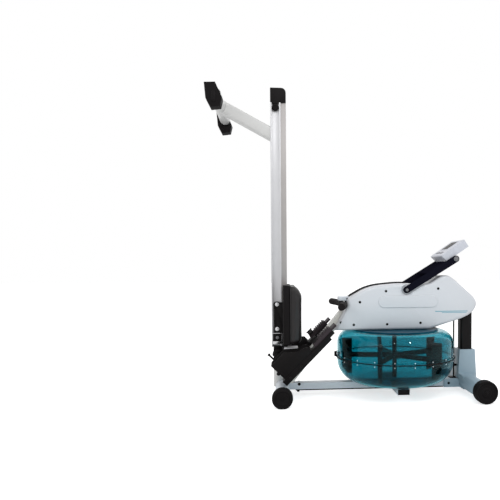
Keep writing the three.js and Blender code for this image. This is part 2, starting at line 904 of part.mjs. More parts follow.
function makeConsole() {
  const start = -consoleBack;
  const end = start + consoleLength;
  const top = consoleRise + consoleThickness;
  const half = consoleWidth / 2;
  const profile = outline([
    [start + consoleNose, consoleRise],
    [end, consoleRise],
    [end, top],
    [start, top],
    [start - consoleNose, top - consoleNose],
  ]);
  const body = across(profile, -half, half);
  const lug = block([-consoleLug / 2, consoleLug / 2], [0, consoleLug / 2], [-consoleLug / 2, consoleRise + cutOver]);
  const bore = barY(0, 0, crossTubeDiameter / 2 + seatGap, -half, half, smallSides);
  let console = body;
  for (const at of [-lugApart / 2 - consoleLug / 4, lugApart / 2 - consoleLug / 4]) {
    console = console.add(lug.translate([0, at, 0]));
  }
  console = console.subtract(bore);
  const buttonX = start + buttonIn;
  ["near", "far"].forEach((side, index) => {
    const middle = (index - 1 / 2) * buttonApart;
    const well = block(
      [buttonX - buttonGap, buttonX + buttonLength + buttonGap],
      [middle - buttonWidth / 2 - buttonGap, middle + buttonWidth / 2 + buttonGap],
      [top - buttonDepth - buttonTravel, top + cutOver],
    );
    console = console.subtract(well);
    const button = block(
      [buttonX, buttonX + buttonLength],
      [middle - buttonWidth / 2, middle + buttonWidth / 2],
      [top - buttonDepth, top + buttonHeight - buttonTravel],
    );
    piece(`button_${side}`, leaned(button, consoleAngle, topPivotX, topPivotZ), whitePlastic);
  });
  piece("console_case", leaned(console, consoleAngle, topPivotX, topPivotZ), whitePlastic);
}

// Handle with swept ends, its strap through the housing's end, and the rest above it
function makeHandle() {
  const endShare = housingEndShares[0][0];
  const endX = housingStart + endShare * housingLength;
  const handleX = endX - handleGap - handleDiameter / 2;
  const handleZ = housingFloor + handleHeight;
  const bendY = (handleStraight + handleHalf) / 2;
  const places = [
    [handleSweep, handleHalf],
    [handleSweep / 2, bendY],
    [0, handleStraight],
    [0, handleStraight / 2],
    [0, 0],
  ];
  const halfPoints = places.map(([back, y]) => new THREE.Vector3(handleX - back, y, handleZ));
  const otherHalf = places.slice(0, -1).map(([back, y]) => new THREE.Vector3(handleX - back, -y, handleZ));
  const points = [...halfPoints, ...otherHalf.reverse()];
  const path = new THREE.CatmullRomCurve3(points, false, "centripetal");
  const ring = new THREE.Shape();
  for (let side = 0; side < handleSides; side += 1) {
    const angle = (side * 2 * Math.PI) / handleSides;
    const [u, v] = [(handleDiameter / 2) * Math.cos(angle), (handleDiameter / 2) * Math.sin(angle)];
    if (side === 0) ring.moveTo(u, v);
    else ring.lineTo(u, v);
  }
  const grip = new THREE.ExtrudeGeometry(ring, { steps: handleSteps, extrudePath: path, bevelEnabled: false });
  piece("handle_bar", solid(grip), blackFoam);

  const strapFrom = handleX + handleDiameter / 2 + seatGap;
  const half = strapThickness / 2;
  const strap = block(
    [strapFrom, strapFrom + strapSpare],
    [-strapWidth / 2, strapWidth / 2],
    [handleZ - half, handleZ + half],
  );
  piece("handle_strap", strap, blackWeb);

  const restFloor = handleZ + handleDiameter / 2 + seatGap;
  const rest = block(
    [handleX - handleDiameter / 2, handleX - handleDiameter / 2 + restLength + handleDiameter],
    [-restWidth / 2, restWidth / 2],
    [restFloor, restFloor + restHeight],
  );
  piece("handle_rest", rest.subtract(housingSolid(-seatGap)), whitePlastic);
}

// Footrests: each is drawn along its slope from its low end, then leaned
function onFootSlope(made) {
  return leaned(made, footAngle, footStart, footHeight);
}

function footBarSolid(clear) {
  const reach = footInner + footWidth - footWall + clear;
  const bar = barY(footBarAlong, footThickness / 2, footBarDiameter / 2 + clear, -reach, reach, smallSides);
  return onFootSlope(bar);
}

function makeFootrests() {
  piece("foot_bar", footBarSolid(0), blackPaint);
  const outer = footInner + footWidth;
  const channel = block([0, footLength], [footInner, outer], [0, footThickness]);
  const inside = block(
    [-cutOver, footLength + cutOver],
    [footInner + footWall * 2, outer - footWall * 2],
    [-cutOver, footThickness - footWall * 2],
  );
  const end = block(
    [footLength - footEndStep, footLength + cutOver],
    [footInner - cutOver, outer + cutOver],
    [-cutOver, footEndRise],
  );
  const shell = onFootSlope(channel.subtract(inside).subtract(end)).subtract(footBarSolid(seatGap));
  piece("footrest_far", shell, blackPaint);
  piece("footrest_near", mirrored(shell), blackPaint);

  const floor = footThickness + seatGap;
  const cupShape = outline([
    [heelAlong, floor],
    [heelAlong + heelLength, floor],
    [heelAlong + heelLength, floor + heelEndHeight - heelEndDrop],
    [heelAlong + heelLength - heelEndDrop, floor + heelEndHeight],
    [heelAlong + heelDip, floor + heelLowHeight],
    [heelAlong + heelLowLength, floor + heelHeight],
    [heelAlong, floor + heelHeight],
  ]);
  const cupBody = across(cupShape, footInner, outer);
  const cupHollow = block(
    [heelAlong + heelWallThickness, heelAlong + heelLength + cutOver],
    [footInner + heelWallThickness, outer - heelWallThickness],
    [floor + heelWallThickness, floor + heelHeight + cutOver],
  );
  const cup = onFootSlope(cupBody.subtract(cupHollow));
  piece("heel_cup_far", cup, blackPlastic);
  piece("heel_cup_near", mirrored(cup), blackPlastic);

  const toeIn = footInner + toeInset;
  const toeOut = outer - toeInset;
  let toe = block([toeAlong, toeAlong + toeLength], [toeIn, toeOut], [floor, floor + toeTipThickness])
    .add(block([toeAlong, toeAlong + toePadLength], [toeIn, toeOut], [floor, floor + toeThickness]));
  for (let rib = 0; rib < toeRibCount; rib += 1) {
    const at = strapAlong + strapLength + 2 * slotGap + rib * 2 * toeRibWidth;
    const top = floor + toeThickness;
    toe = toe.add(block([at, at + toeRibWidth], [toeIn, toeOut], [top - toeRibHeight, top + toeRibHeight]));
  }
  const toePlate = onFootSlope(toe);
  piece("toe_plate_far", toePlate, blackPlastic);
  piece("toe_plate_near", mirrored(toePlate), blackPlastic);

  const middle = footInner + footWidth / 2;
  const ring = (grow) => {
    const half = (toeOut - toeIn) / 2 + grow;
    const low = floor + toeThickness + seatGap;
    const shape = new THREE.Shape();
    shape.moveTo(middle - half, low);
    shape.lineTo(middle + half, low);
    shape.lineTo(middle + half, low + strapSide + grow);
    shape.absellipse(middle, low + strapSide + grow, half, strapArch - strapSide, 0, Math.PI, false, 0);
    return shape;
  };
  const within = ring(-footStrapThickness);
  const loop = alongX(ring(0), strapAlong, strapAlong + strapLength)
    .subtract(alongX(within, strapAlong - cutOver, strapAlong + strapLength + cutOver));
  const strap = onFootSlope(loop);
  piece("foot_strap_far", strap, blackWeb);
  piece("foot_strap_near", mirrored(strap), blackWeb);
}

// Fold bracket on the neck, its bolt, the rail's bracket and the lock pin
function makeFold() {
  const cheekIn = lugWidth / 2 + runGap;
  const cheekOut = cheekIn + cheekThickness;
  const front = [pivotX - lugDiameter / 2 + runGap, pivotX - lugDiameter / 2 + runGap + cheekLength];
  const floor = neckTop + seatGap;
  const top = pivotZ + cheekTopRise;
  const cheek = block(front, [cheekIn, cheekOut], [floor, top]);
  const base = block(front, [-cheekOut, cheekOut], [floor, floor + cheekThickness]);
  const [bossX, bossZ] = [pivotX - pinBack, pivotZ - pinDrop];
  const bossSolid = block(
    [-pinBossLength / 2, pinBossLength / 2],
    [-cheekOut - pinBossWidth, -cheekOut + cheekThickness / 2],
    [-pinBossWidth / 2, pinBossWidth / 2],
  );
  const pinY = -cheekOut - pinBossWidth / 2;
  const pinHole = new THREE.CylinderGeometry(
    pinDiameter / 2 + seatGap,
    pinDiameter / 2 + seatGap,
    pinBossLength + 2 * cutOver,
    smallSides,
  );
  pinHole.rotateZ(Math.PI / 2).translate(0, pinY, 0);
  const boss = bossSolid.subtract(solid(pinHole));
  const turn = 180 - pinAngle;
  const bossPlaced = leaned(boss, turn, bossX, bossZ);
  const bore = barY(pivotX, pivotZ, foldBoltDiameter / 2 + seatGap, -frontSpan, frontSpan, smallSides);
  const bracket = cheek.add(mirrored(cheek)).add(base).add(bossPlaced).subtract(bore);
  piece("fold_bracket", bracket, blackPaint);

  const pinBody = new THREE.CylinderGeometry(pinDiameter / 2, pinDiameter / 2, pinLength, smallSides);
  pinBody.rotateZ(Math.PI / 2).translate(pinLength / 2 - pinBossLength / 2, pinY, 0);
  const knob = new THREE.CylinderGeometry(pinKnobDiameter / 2, pinKnobDiameter / 2, pinKnobLength, smallSides);
  knob.rotateZ(Math.PI / 2).translate(pinLength - pinBossLength / 2 - pinKnobLength / 2, pinY, 0);
  const pin = solid(pinBody).add(solid(knob));
  piece("lock_pin", leaned(pin, turn, bossX, bossZ), blackPaint);

  const boltEnd = cheekOut + seatGap;
  const bolt = barY(pivotX, pivotZ, foldBoltDiameter / 2, -boltEnd, boltEnd, smallSides);
  const head = barY(pivotX, pivotZ, foldBoltHead / 2, boltEnd, boltEnd + foldBoltHeadHeight, smallSides);
  piece("fold_bolt", bolt.add(head).add(mirrored(head)), boltSteel);

  const lugHalf = lugWidth / 2;
  const lugRadius = lugDiameter / 2;
  const plateTop = railZ - seatGap;
  const lug = barY(pivotX, pivotZ, lugRadius, -lugHalf, lugHalf)
    .add(block([pivotX - lugRadius, pivotX + lugRadius], [-lugHalf, lugHalf], [pivotZ, plateTop]))
    .add(block([railX, railFace], [-railWidth / 2, railWidth / 2], [plateTop - flangePlate, plateTop]));
  piece("rail_bracket", lug.subtract(bore), blackPaint);
}

// Rail: a hollow section with a groove in each side and a narrower track on top
function makeRail() {
  const half = railWidth / 2;
  const track = trackWidth / 2;
  const side = [
    [railX, half],
    [railX + grooveLip, half],
    [railX + grooveLip, half - grooveDepth],
    [trackX - grooveLip, half - grooveDepth],
    [trackX - grooveLip, half],
    [trackX, half],
    [trackX, track],
    [railFace, track],
  ];
  const otherSide = side.map(([x, y]) => [x, -y]).reverse();
  const section = outline([...side, ...otherSide]);
  const body = upward(section, railZ, railTop);
  const bore = block(
    [railX + railWall, railFace - railWall],
    [-half + grooveDepth + railWall, half - grooveDepth - railWall],
    [railZ - cutOver, railTop + cutOver],
  );
  piece("rail", body.subtract(bore), railMetal);

  const capFloor = railTop + seatGap;
  const capTop = capFloor + capHeight;
  const capShape = new THREE.Shape();
  capShape.moveTo(railX, capFloor);
  capShape.lineTo(railFace, capFloor);
  capShape.lineTo(railFace, capTop - capRound);
  capShape.absarc(railFace - capRound, capTop - capRound, capRound, 0, Math.PI / 2, false);
  capShape.lineTo(railX, capTop);
  const bumperX = (railX + trackX) / 2;
  const bumperZ = railTop - bumperDrop;
  const floor = half - grooveDepth + seatGap;
  const tab = block(
    [railX + grooveLip + runGap, trackX - grooveLip - runGap],
    [floor, half],
    [bumperZ + bumperDiameter / 2 + seatGap, capFloor + cutOver],
  );
  piece("rail_cap", across(capShape, -half, half).add(tab).add(mirrored(tab)), blackPlastic);

  const bumper = barY(bumperX, bumperZ, bumperDiameter / 2, floor, half + bumperReach, smallSides);
  piece("bumper_far", bumper, blackRubber);
  piece("bumper_near", mirrored(bumper), blackRubber);
}

// Rear leg, its cross tube and the rubber feet
const rearFootShares = [
  [-0.348, -1.304],
  [0.478, -1.196],
  [0.652, -0.478],
  [0.087, 0.783],
];

function makeRear() {
  const tubeX = pivotX - rearBack;
  const tubeZ = pivotZ + rearHeight;
  const rootX = railX - seatGap;
  const rootZ = railTop - legDrop;
  const lift = tubeZ + legLift - rootZ;
  const lean = 180 - THREE.MathUtils.radToDeg(Math.atan2(lift, rootX - tubeX));
  const span = Math.hypot(lift, rootX - tubeX);
  const hollowX = [-legDepth - cutOver, span + cutOver];
  const hollowY = [-legWidth / 2 + legCorner / 2, legWidth / 2 - legCorner / 2];
  const hollow = block(hollowX, hollowY, [-legDepth / 2 + legCorner / 2, legDepth / 2 - legCorner / 2]);
  const run = alongX(roundedBox(0, 0, legWidth, legDepth, legCorner), -legDepth, span).subtract(hollow);
  const reachUp = legDepth * 2;
  const railClear = block([rootX, rootX + reachUp], [-railWidth, railWidth], [rootZ - reachUp, rootZ + reachUp]);
  const tubeRadius = rearTubeDiameter / 2;
  const tubeClear = barY(tubeX, tubeZ, tubeRadius + seatGap, -legDepth, legDepth);
  piece("rear_leg", leaned(run, lean, rootX, rootZ).subtract(railClear).subtract(tubeClear), whitePaint);

  const tubeEnd = rearSpan / 2 - rearFootWidth + rearFootBore;
  const tubeBore = barY(tubeX, tubeZ, tubeRadius - tubeWall, -rearSpan, rearSpan);
  piece("rear_tube", barY(tubeX, tubeZ, tubeRadius, -tubeEnd, tubeEnd).subtract(tubeBore), whitePaint);

  const folded = THREE.MathUtils.degToRad(foldAngle);
  const soleAt = (share) => {
    const up = rearHeight + share * rearTubeDiameter;
    return [pivotX - (pivotZ + up * Math.cos(folded)) / Math.sin(folded), pivotZ + up];
  };
  const sides = rearFootShares.map(([along, up]) => [
    tubeX + along * rearTubeDiameter,
    tubeZ + up * rearTubeDiameter,
  ]);
  const footShape = outline([soleAt(soleHighShare), soleAt(soleLowShare), ...sides]);
  const bore = barY(tubeX, tubeZ, tubeRadius + seatGap, -tubeEnd - seatGap, tubeEnd + seatGap);
  const foot = across(footShape, rearSpan / 2 - rearFootWidth, rearSpan / 2).subtract(bore);
  piece("rear_foot_far", foot, blackRubber);
  piece("rear_foot_near", mirrored(foot), blackRubber);
}

// Cushion: rings of a rounded outline, one above the other, as height and inset shares
const cushionRingShares = [
  [0, 0.06],
  [0.16, 0],
  [0.34, 0.03],
  [0.37, 0.1],
  [0.4, 0.06],
  [0.62, 0.1],
  [0.65, 0.18],
  [0.68, 0.14],
  [0.82, 0.2],
  [0.92, 0.34],
  [0.98, 0.8],
  [1, 1.8],
];

function cushionSolid(x0, z0) {
  const half = seatWidth / 2;
  const positions = [];
  cushionRingShares.forEach(([up, inset]) => {
    const side = half - inset * cushionHeight;
    const low = z0 + inset * cushionHeight;
    const high = z0 + seatLength - inset * cushionHeight - cushionSlopeShare * cushionHeight * up ** 2;
    const corner = Math.min(cushionCorner, (high - low) / 2, side);
    const [inY, inLow, inHigh] = [side - corner, low + corner, high - corner];
    const ring = [
      ...arcPoints(inY, inLow, corner, -90, 0),
      ...arcPoints(inY, inHigh, corner, 0, 90),
      ...arcPoints(-inY, inHigh, corner, 90, 180),
      ...arcPoints(-inY, inLow, corner, 180, 270),
    ];
    ring.forEach(([y, z]) => positions.push([x0 + up * cushionHeight, y, z]));
  });
  const rings = cushionRingShares.length;
  const count = positions.length / rings;
  const faces = [];
  const triangle = (a, b, c) => faces.push(...positions[a], ...positions[b], ...positions[c]);
  for (let ring = 0; ring < rings - 1; ring += 1) {
    for (let at = 0; at < count; at += 1) {
      const next = (at + 1) % count;
      const [a, b] = [ring * count + at, ring * count + next];
      const [c, d] = [a + count, b + count];
      triangle(a, b, d);
      triangle(a, d, c);
    }
  }
  const centre = (ring) => {
    const middle = [0, 0, 0];
    for (let at = 0; at < count; at += 1) {
      middle.forEach((_, axis) => (middle[axis] += positions[ring * count + at][axis] / count));
    }
    return positions.push(middle) - 1;
  };
  const [floor, top] = [centre(0), centre(rings - 1)];
  for (let at = 0; at < count; at += 1) {
    const next = (at + 1) % count;
    const last = (rings - 1) * count;
    triangle(floor, next, at);
    triangle(top, last + at, last + next);
  }
  const geometry = new THREE.BufferGeometry();
  geometry.setAttribute("position", new THREE.Float32BufferAttribute(faces, 3));
  const made = solid(geometry);
  return made;
}

// Seat on its carriage, with a roller in each groove at both ends of the carriage
function makeSeat() {
  const seatZ = railZ + seatLift;
  const baseX = railFace - seatUnderLength;
  const plateX = railFace + carriageGap;
  const plateIn = railWidth / 2 + carriageGap;
  const plateOut = plateIn + carriageWall;
  const carriageTop = seatZ + carriageLength;
  const skirtX = railX + carriageUp;
  const outer = block([skirtX, plateX + carriageWall], [-plateOut, plateOut], [seatZ, carriageTop]);
  const inner = block([skirtX - cutOver, plateX], [-plateIn, plateIn], [seatZ - cutOver, carriageTop + cutOver]);
  let carriage = outer.subtract(inner);

  const grooveX = (railX + trackX) / 2;
  const rollerRadius = (railSide - 2 * grooveLip - runGap) / 2;
  const rollerIn = railWidth / 2 - grooveDepth + seatGap;
  const rollers = { low: seatZ + rollerLowUp, high: seatZ + rollerHighUp };
  for (const [level, z] of Object.entries(rollers)) {
    const bore = barY(grooveX, z, rollerPin / 2 + seatGap, -railWidth, railWidth, smallSides);
    carriage = carriage.subtract(bore);
    const wheel = barY(grooveX, z, rollerRadius, rollerIn, rollerIn + rollerWidth, smallSides);
    const pin = barY(grooveX, z, rollerPin / 2, rollerIn, plateOut + rollerPinProud, smallSides);
    const roller = wheel.add(pin);
    piece(`roller_${level}_far`, roller, blackPlastic);
    piece(`roller_${level}_near`, mirrored(roller), blackPlastic);
  }
  piece("seat_carriage", carriage, blackPaint);

  const slotTop = plateX + carriageWall + seatGap;
  const slot = block(
    [baseX - cutOver, slotTop],
    [-plateOut - seatGap, plateOut + seatGap],
    [seatZ - cutOver, seatZ + seatLength + cutOver],
  );
  const base = upward(
    roundedBox(baseX + seatBase / 2, 0, seatBase, seatWidth - 2 * cushionInset, baseCorner),
    seatZ,
    seatZ + seatLength,
  );
  piece("seat_base", base.subtract(slot), blackPlastic);
  piece("seat_cushion", cushionSolid(baseX + seatBase + seatGap, seatZ), seatLeather);
}

makeMiddle();
makeBeam();
makeTankArms();
makeFront();
makeTank();
makeDrive();
makeIncline();
makeHousing();
makeConsoleArm();
makeConsole();
makeHandle();
makeFootrests();
makeFold();
makeRail();
makeRear();
makeSeat();

// The origin lies on the floor, under the middle of the machine
const bounds = new THREE.Box3().setFromObject(machine);
machine.position.x = -(bounds.min.x + bounds.max.x) / 2;

export default machine;
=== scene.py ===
"""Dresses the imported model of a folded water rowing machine: its finishes, soft pieces, small fittings and stage."""

import math

import bpy
from mathutils import Matrix, Vector


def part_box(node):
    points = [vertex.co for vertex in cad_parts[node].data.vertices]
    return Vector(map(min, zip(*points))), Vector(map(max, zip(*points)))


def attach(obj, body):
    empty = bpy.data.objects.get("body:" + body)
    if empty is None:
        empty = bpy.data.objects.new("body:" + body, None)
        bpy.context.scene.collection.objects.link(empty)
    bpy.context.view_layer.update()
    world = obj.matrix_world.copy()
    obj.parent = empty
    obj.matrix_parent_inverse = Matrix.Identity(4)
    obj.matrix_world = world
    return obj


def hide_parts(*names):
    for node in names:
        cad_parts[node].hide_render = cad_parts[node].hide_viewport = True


bl_info = {
    "name": "Water rowing machine",
    "version": (1, 0, 0),
    "blender": (4, 5, 0),
    "location": "3D View > Sidebar > Rowing machine",
    "description": "Builds the visible pieces of a folded water rowing machine",
    "category": "Add Mesh",
}

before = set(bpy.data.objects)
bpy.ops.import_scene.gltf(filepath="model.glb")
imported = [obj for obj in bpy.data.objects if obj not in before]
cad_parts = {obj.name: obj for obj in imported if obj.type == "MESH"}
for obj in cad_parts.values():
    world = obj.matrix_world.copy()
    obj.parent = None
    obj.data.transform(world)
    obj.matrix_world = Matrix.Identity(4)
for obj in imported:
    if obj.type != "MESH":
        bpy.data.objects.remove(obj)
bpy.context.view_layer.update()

# The machine's own frame has X = 0 on the middle stabiliser's axis, in millimetres
MM = 0.001
MIDDLE_X = -0.288009
TANK_X, SEAM_Z, TANK_FLOOR, TANK_TOP = 500, 166.3, 54.3, 282.3
TANK_RADIUS, TANK_WALL, BOWL_CORNER, BELL_CORNER = 256, 4, 96, 56
FRONT_X, WHEEL_Z = 823, 47.6
ARM_FOOT, ARM_HEAD = (534, 459.9), (750.57, 592.61)
CONSOLE_ANGLE = 34
HANDLE_X, HANDLE_Z = 262.1, 396.9
FOOT_ORIGIN, FOOT_ALONG, FOOT_ANGLE = (18, 77), (0.7034, 0.7108), 45.3
SIDES = (("far", 1), ("near", -1))
UP = (0, 0, 1)


def place(x, y, z):
    """A point of the machine's own frame, in metres in the part's frame."""
    return Vector((x * MM + MIDDLE_X, y * MM, z * MM))


def metres(profile, start=0):
    """A profile of (radius, reach) in metres, with the reach counted from a start."""
    return [(radius * MM, (reach - start) * MM) for radius, reach in profile]


def shade(red, green, blue):
    """A colour written as it looks on screen, as the linear value that a shader takes."""
    linear = [c / 12.92 if c <= 0.04045 else ((c + 0.055) / 1.055) ** 2.4 for c in (red, green, blue)]
    return (*linear, 1.0)


def colour_setting(name, description, *colour):
    return bpy.props.FloatVectorProperty(name=name, description=description, subtype="COLOR", size=3, min=0, max=1,
                                         default=shade(*colour)[:3])


def power_setting(name, description, default, most):
    return bpy.props.FloatProperty(name=name, description=description, default=default, min=0, max=most,
                                   subtype="POWER")


class RowerColours(bpy.types.PropertyGroup):
    paint: colour_setting("Frame paint", "Colour of the white powder coat on the beams", 0.86, 0.89, 0.92)
    shell: colour_setting("Shell", "Colour of the moulded housing", 0.835, 0.845, 0.865)
    cream: colour_setting("Inclined tube", "Colour of the tube under the handle", 0.9, 0.895, 0.87)
    console: colour_setting("Console", "Colour of the console's case", 0.79, 0.8, 0.835)
    black: colour_setting("Black", "Colour of the black plastic and painted pieces", 0.05, 0.038, 0.041)
    rubber: colour_setting("Rubber", "Colour of the caps, feet and wheels", 0.054, 0.043, 0.048)
    tank: colour_setting("Tank", "Tint of the clear tank", 0.4, 0.72, 0.76)
    water: colour_setting("Water", "Tint of the water in the tank", 0.25, 0.69, 0.72)
    rail: colour_setting("Rail", "Colour of the rail's aluminium", 0.8, 0.8, 0.81)


class RowerSizes(bpy.types.PropertyGroup):
    water_level: bpy.props.FloatProperty(
        name="Water level", description="Height of the water's surface above the floor",
        default=0.232, min=0.07, max=0.27, unit="LENGTH")
    seam_bolts: bpy.props.IntProperty(
        name="Seam bolts", description="Number of bolts round the tank's seam", default=20, min=6, max=48)
    screw: bpy.props.FloatProperty(
        name="Housing screw", description="Diameter of the housing's screw caps",
        default=0.011, min=0.004, max=0.02, unit="LENGTH")


class RowerStage(bpy.types.PropertyGroup):
    key: power_setting("Key lamp", "Power of the large lamp on the left", 88, 500)
    fill: power_setting("Fill lamp", "Power of the lamps on the far side", 9, 500)
    glow: power_setting("Tank glow", "Power of the teal light that the tank throws on the shells", 0.4, 50)
    glint: power_setting("Glints", "Power of the two small lamps that glint on the tank", 4.5, 100)
    sky: bpy.props.FloatProperty(
        name="Surroundings", description="Light that comes from all round", default=0.62, min=0, max=2)
    lens: bpy.props.FloatProperty(
        name="Lens", description="Focal length of the camera", default=35.14, min=10, max=200,
        subtype="DISTANCE_CAMERA")


def picked(obj):
    """Leaves only this object selected and active, in object mode."""
    if bpy.context.object and bpy.context.object.mode != "OBJECT":
        bpy.ops.object.mode_set(mode="OBJECT")
    bpy.ops.object.select_all(action="DESELECT")
    if obj:
        obj.select_set(True)
        bpy.context.view_layer.objects.active = obj
    return obj


def fixed(obj):
    """Puts the object's place into its mesh."""
    picked(obj)
    bpy.ops.object.transform_apply(location=True, rotation=True, scale=True)
    return obj


def modified(obj, kind, **values):
    """Adds a modifier with these values and applies it."""
    picked(obj)
    modifier = obj.modifiers.new(kind.title(), kind)
    for key, value in values.items():
        setattr(modifier, key, value)
    bpy.ops.object.modifier_apply(modifier=modifier.name)
    return obj


def rounded(obj, width, segments=2, angle=32):
    """Bevels every edge sharper than the angle."""
    return modified(obj, "BEVEL", width=width, segments=segments, limit_method="ANGLE",
                    angle_limit=math.radians(angle), miter_outer="MITER_ARC")


def softened(obj, angle=34):
    picked(obj)
    bpy.ops.object.shade_smooth_by_angle(angle=math.radians(angle))
    return obj


def edited(obj, *steps):
    """Takes these steps in edit mode, with all of the object selected."""
    picked(obj)
    bpy.ops.object.mode_set(mode="EDIT")
    bpy.ops.mesh.select_all(action="SELECT")
    for step in steps:
        step()
    bpy.ops.object.mode_set(mode="OBJECT")
    return obj


def cleaned(obj):
    """Merges doubles and turns every face outwards."""
    return edited(obj, lambda: bpy.ops.mesh.remove_doubles(threshold=0.00001),
                  lambda: bpy.ops.mesh.normals_make_consistent(inside=False))


def linked(name, data):
    """A new object of this data in the scene."""
    obj = bpy.data.objects.new(name, data)
    bpy.context.scene.collection.objects.link(obj)
    return obj


def drawn(name, points, edges=(), faces=()):
    """An object from points in the part's frame."""
    mesh = bpy.data.meshes.new(name)
    mesh.from_pydata([tuple(point) for point in points], list(edges), list(faces))
    return linked(name, mesh)


def joined(name, pieces):
    """Makes one object of several."""
    picked(pieces[0])
    for piece in pieces:
        piece.select_set(True)
    if len(pieces) > 1:
        bpy.ops.object.join()
    pieces[0].name = name
    return pieces[0]


def spun(name, profile, centre, axis, steps=64):
    """Turns a profile of (radius, height) points in metres round an axis through the centre."""
    axis = Vector(axis).normalized()
    turn = axis.to_track_quat("Z", "Y").to_matrix()
    points = [centre + turn @ Vector((radius, 0, height)) for radius, height in profile]
    obj = drawn(name, points, edges=[(i, i + 1) for i in range(len(points) - 1)])
    return cleaned(edited(obj, lambda: bpy.ops.mesh.spin(steps=steps, angle=math.tau, center=centre, axis=axis,
                                                         use_auto_merge=True)))


def pressed(name, outline, reach):
    """A solid from a flat outline and the vector that it is extruded by."""
    obj = drawn(name, outline, faces=[list(range(len(outline)))])
    return cleaned(edited(obj, lambda: bpy.ops.mesh.extrude_region_move(
        TRANSFORM_OT_translate={"value": tuple(reach)})))


def slab(name, low, high, edge=0.0008, segments=2):
    """A block between two corners, with rounded edges."""
    low, high = Vector(low), Vector(high)
    picked(None)
    bpy.ops.mesh.primitive_cube_add(size=1, location=(low + high) / 2)
    obj = bpy.context.object
    obj.name = obj.data.name = name
    obj.scale = high - low
    return rounded(fixed(obj), edge, segments)


def side_slab(name, xs, ys, zs, sign, edge, segments=2):
    """A block on one side of the machine, from millimetres measured outwards across it."""
    near, far = sorted(y * sign for y in ys)
    return slab(name, place(xs[0], near, zs[0]), place(xs[1], far, zs[1]), edge, segments)


def leaned(obj, pivot, degrees):
    """Turns a piece about the Y axis through a point, positive from +X towards +Z."""
    turn = Matrix.Translation(pivot) @ Matrix.Rotation(math.radians(-degrees), 4, "Y") @ Matrix.Translation(-pivot)
    obj.matrix_world = turn @ obj.matrix_world
    return fixed(obj)


def bolt_head(name, at, axis, radius, height, sides=6, socket=True):
    """A bolt head on its washer, standing on a surface."""
    axis = Vector(axis).normalized()
    washer = spun(name + "_washer", [(radius * out, height * up) for out, up in WASHER_SHARES], at, axis, 32)
    picked(None)
    bpy.ops.mesh.primitive_cylinder_add(vertices=sides, radius=radius, depth=height * 0.8,
                                        location=at + axis * height * 0.6,
                                        rotation=axis.to_track_quat("Z", "Y").to_euler())
    head = fixed(bpy.context.object)
    head.name = name
    rounded(head, radius * 0.14, 2, 50)
    if socket:
        picked(head)
        bpy.ops.object.mode_set(mode="EDIT")
        bpy.ops.mesh.select_all(action="DESELECT")
        bpy.ops.object.mode_set(mode="OBJECT")
        top = max(head.data.polygons, key=lambda face: (face.center - at).dot(axis))
        top.select = True
        bpy.ops.object.mode_set(mode="EDIT")
        bpy.ops.mesh.select_mode(type="FACE")
        bpy.ops.mesh.inset(thickness=radius * SOCKET_IN, depth=0)
        bpy.ops.mesh.inset(thickness=radius * SOCKET_SLOPE, depth=-height * SOCKET_DEPTH)
        bpy.ops.object.mode_set(mode="OBJECT")
    return softened(joined(name, [head, washer]))


# Shares of a bolt head's radius and height
WASHER_SHARES = ((0, 0), (1.25, 0), (1.3, 0.08), (1.25, 0.22), (0, 0.22))
SOCKET_IN, SOCKET_SLOPE, SOCKET_DEPTH = 0.42, 0.04, 0.34


def refined(node, width, segments=2, angle=40, soft=34):
    """A merged copy of a CAD node with rounded edges, which stands in for it."""
    copy = linked(node + "_shown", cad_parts[node].data.copy())
    copy.data.name = copy.name
    edited(copy, lambda: bpy.ops.mesh.remove_doubles(threshold=0.00002),
           lambda: bpy.ops.mesh.dissolve_limited(angle_limit=math.radians(1.0)))
    if width:
        rounded(copy, width, segments, angle)
    softened(copy, soft)
    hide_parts(node)
    return copy


def eased(path, rounds):
    """Cuts the corners of a path and keeps its two ends."""
    for _ in range(rounds):
        cut = [path[0]]
        for a, b in zip(path, path[1:]):
            cut += [a.lerp(b, 0.25), a.lerp(b, 0.75)]
        path = [*cut, path[-1]]
    return path


def swept(name, path, radius, sides=28):
    """A round bar along a path, with closed ends."""
    curve = bpy.data.curves.new(name, "CURVE")
    curve.dimensions = "3D"
    curve.bevel_depth = radius
    curve.bevel_resolution = sides // 4
    curve.use_fill_caps = True
    line = curve.splines.new("POLY")
    line.points.add(len(path) - 1)
    for point, at in zip(line.points, path):
        point.co = (*at, 1)
    picked(linked(name, curve))
    bpy.ops.object.convert(target="MESH")
    return cleaned(bpy.context.object)


# Where the rows of a band's faces lie across it, as shares of half its width
BAND_ROWS = (-1, -0.94, -0.5, 0, 0.5, 0.94, 1)


def band(name, path, width, thickness, lift=0.0, across=Vector((0, 1, 0))):
    """A flat strip along a path, with its own map in metres along and across it."""
    along = 0.0
    points, spots, faces = [], [], []
    for index, point in enumerate(path):
        before, after = path[max(index - 1, 0)], path[min(index + 1, len(path) - 1)]
        normal = (after - before).normalized().cross(across).normalized() * -1
        if index:
            along += (point - path[index - 1]).length
        for row in BAND_ROWS:
            points.append(point + across * row * width / 2 + normal * lift)
            spots.append((along, row * width / 2))
    rows = len(BAND_ROWS)
    for start in range(0, rows * (len(path) - 1), rows):
        for low in range(start, start + rows - 1):
            faces.append((low, low + rows, low + rows + 1, low + 1))
    obj = drawn(name, points, faces=faces)
    tape = obj.data.uv_layers.new(name="Tape")
    for loop in obj.data.loops:
        tape.data[loop.index].uv = spots[loop.vertex_index]
    modified(obj, "SOLIDIFY", thickness=thickness, offset=1.0, use_even_offset=True)
    rounded(obj, thickness * 0.28, 2, 60)
    return softened(obj, 40)


def arc(centre, radius, start, end, steps=10):
    """Points of (radius, height) round an arc in a profile, angles in degrees from outwards."""
    turns = (math.radians(start + (end - start) * i / steps) for i in range(steps + 1))
    return [(centre[0] + radius * math.cos(turn), centre[1] + radius * math.sin(turn)) for turn in turns]


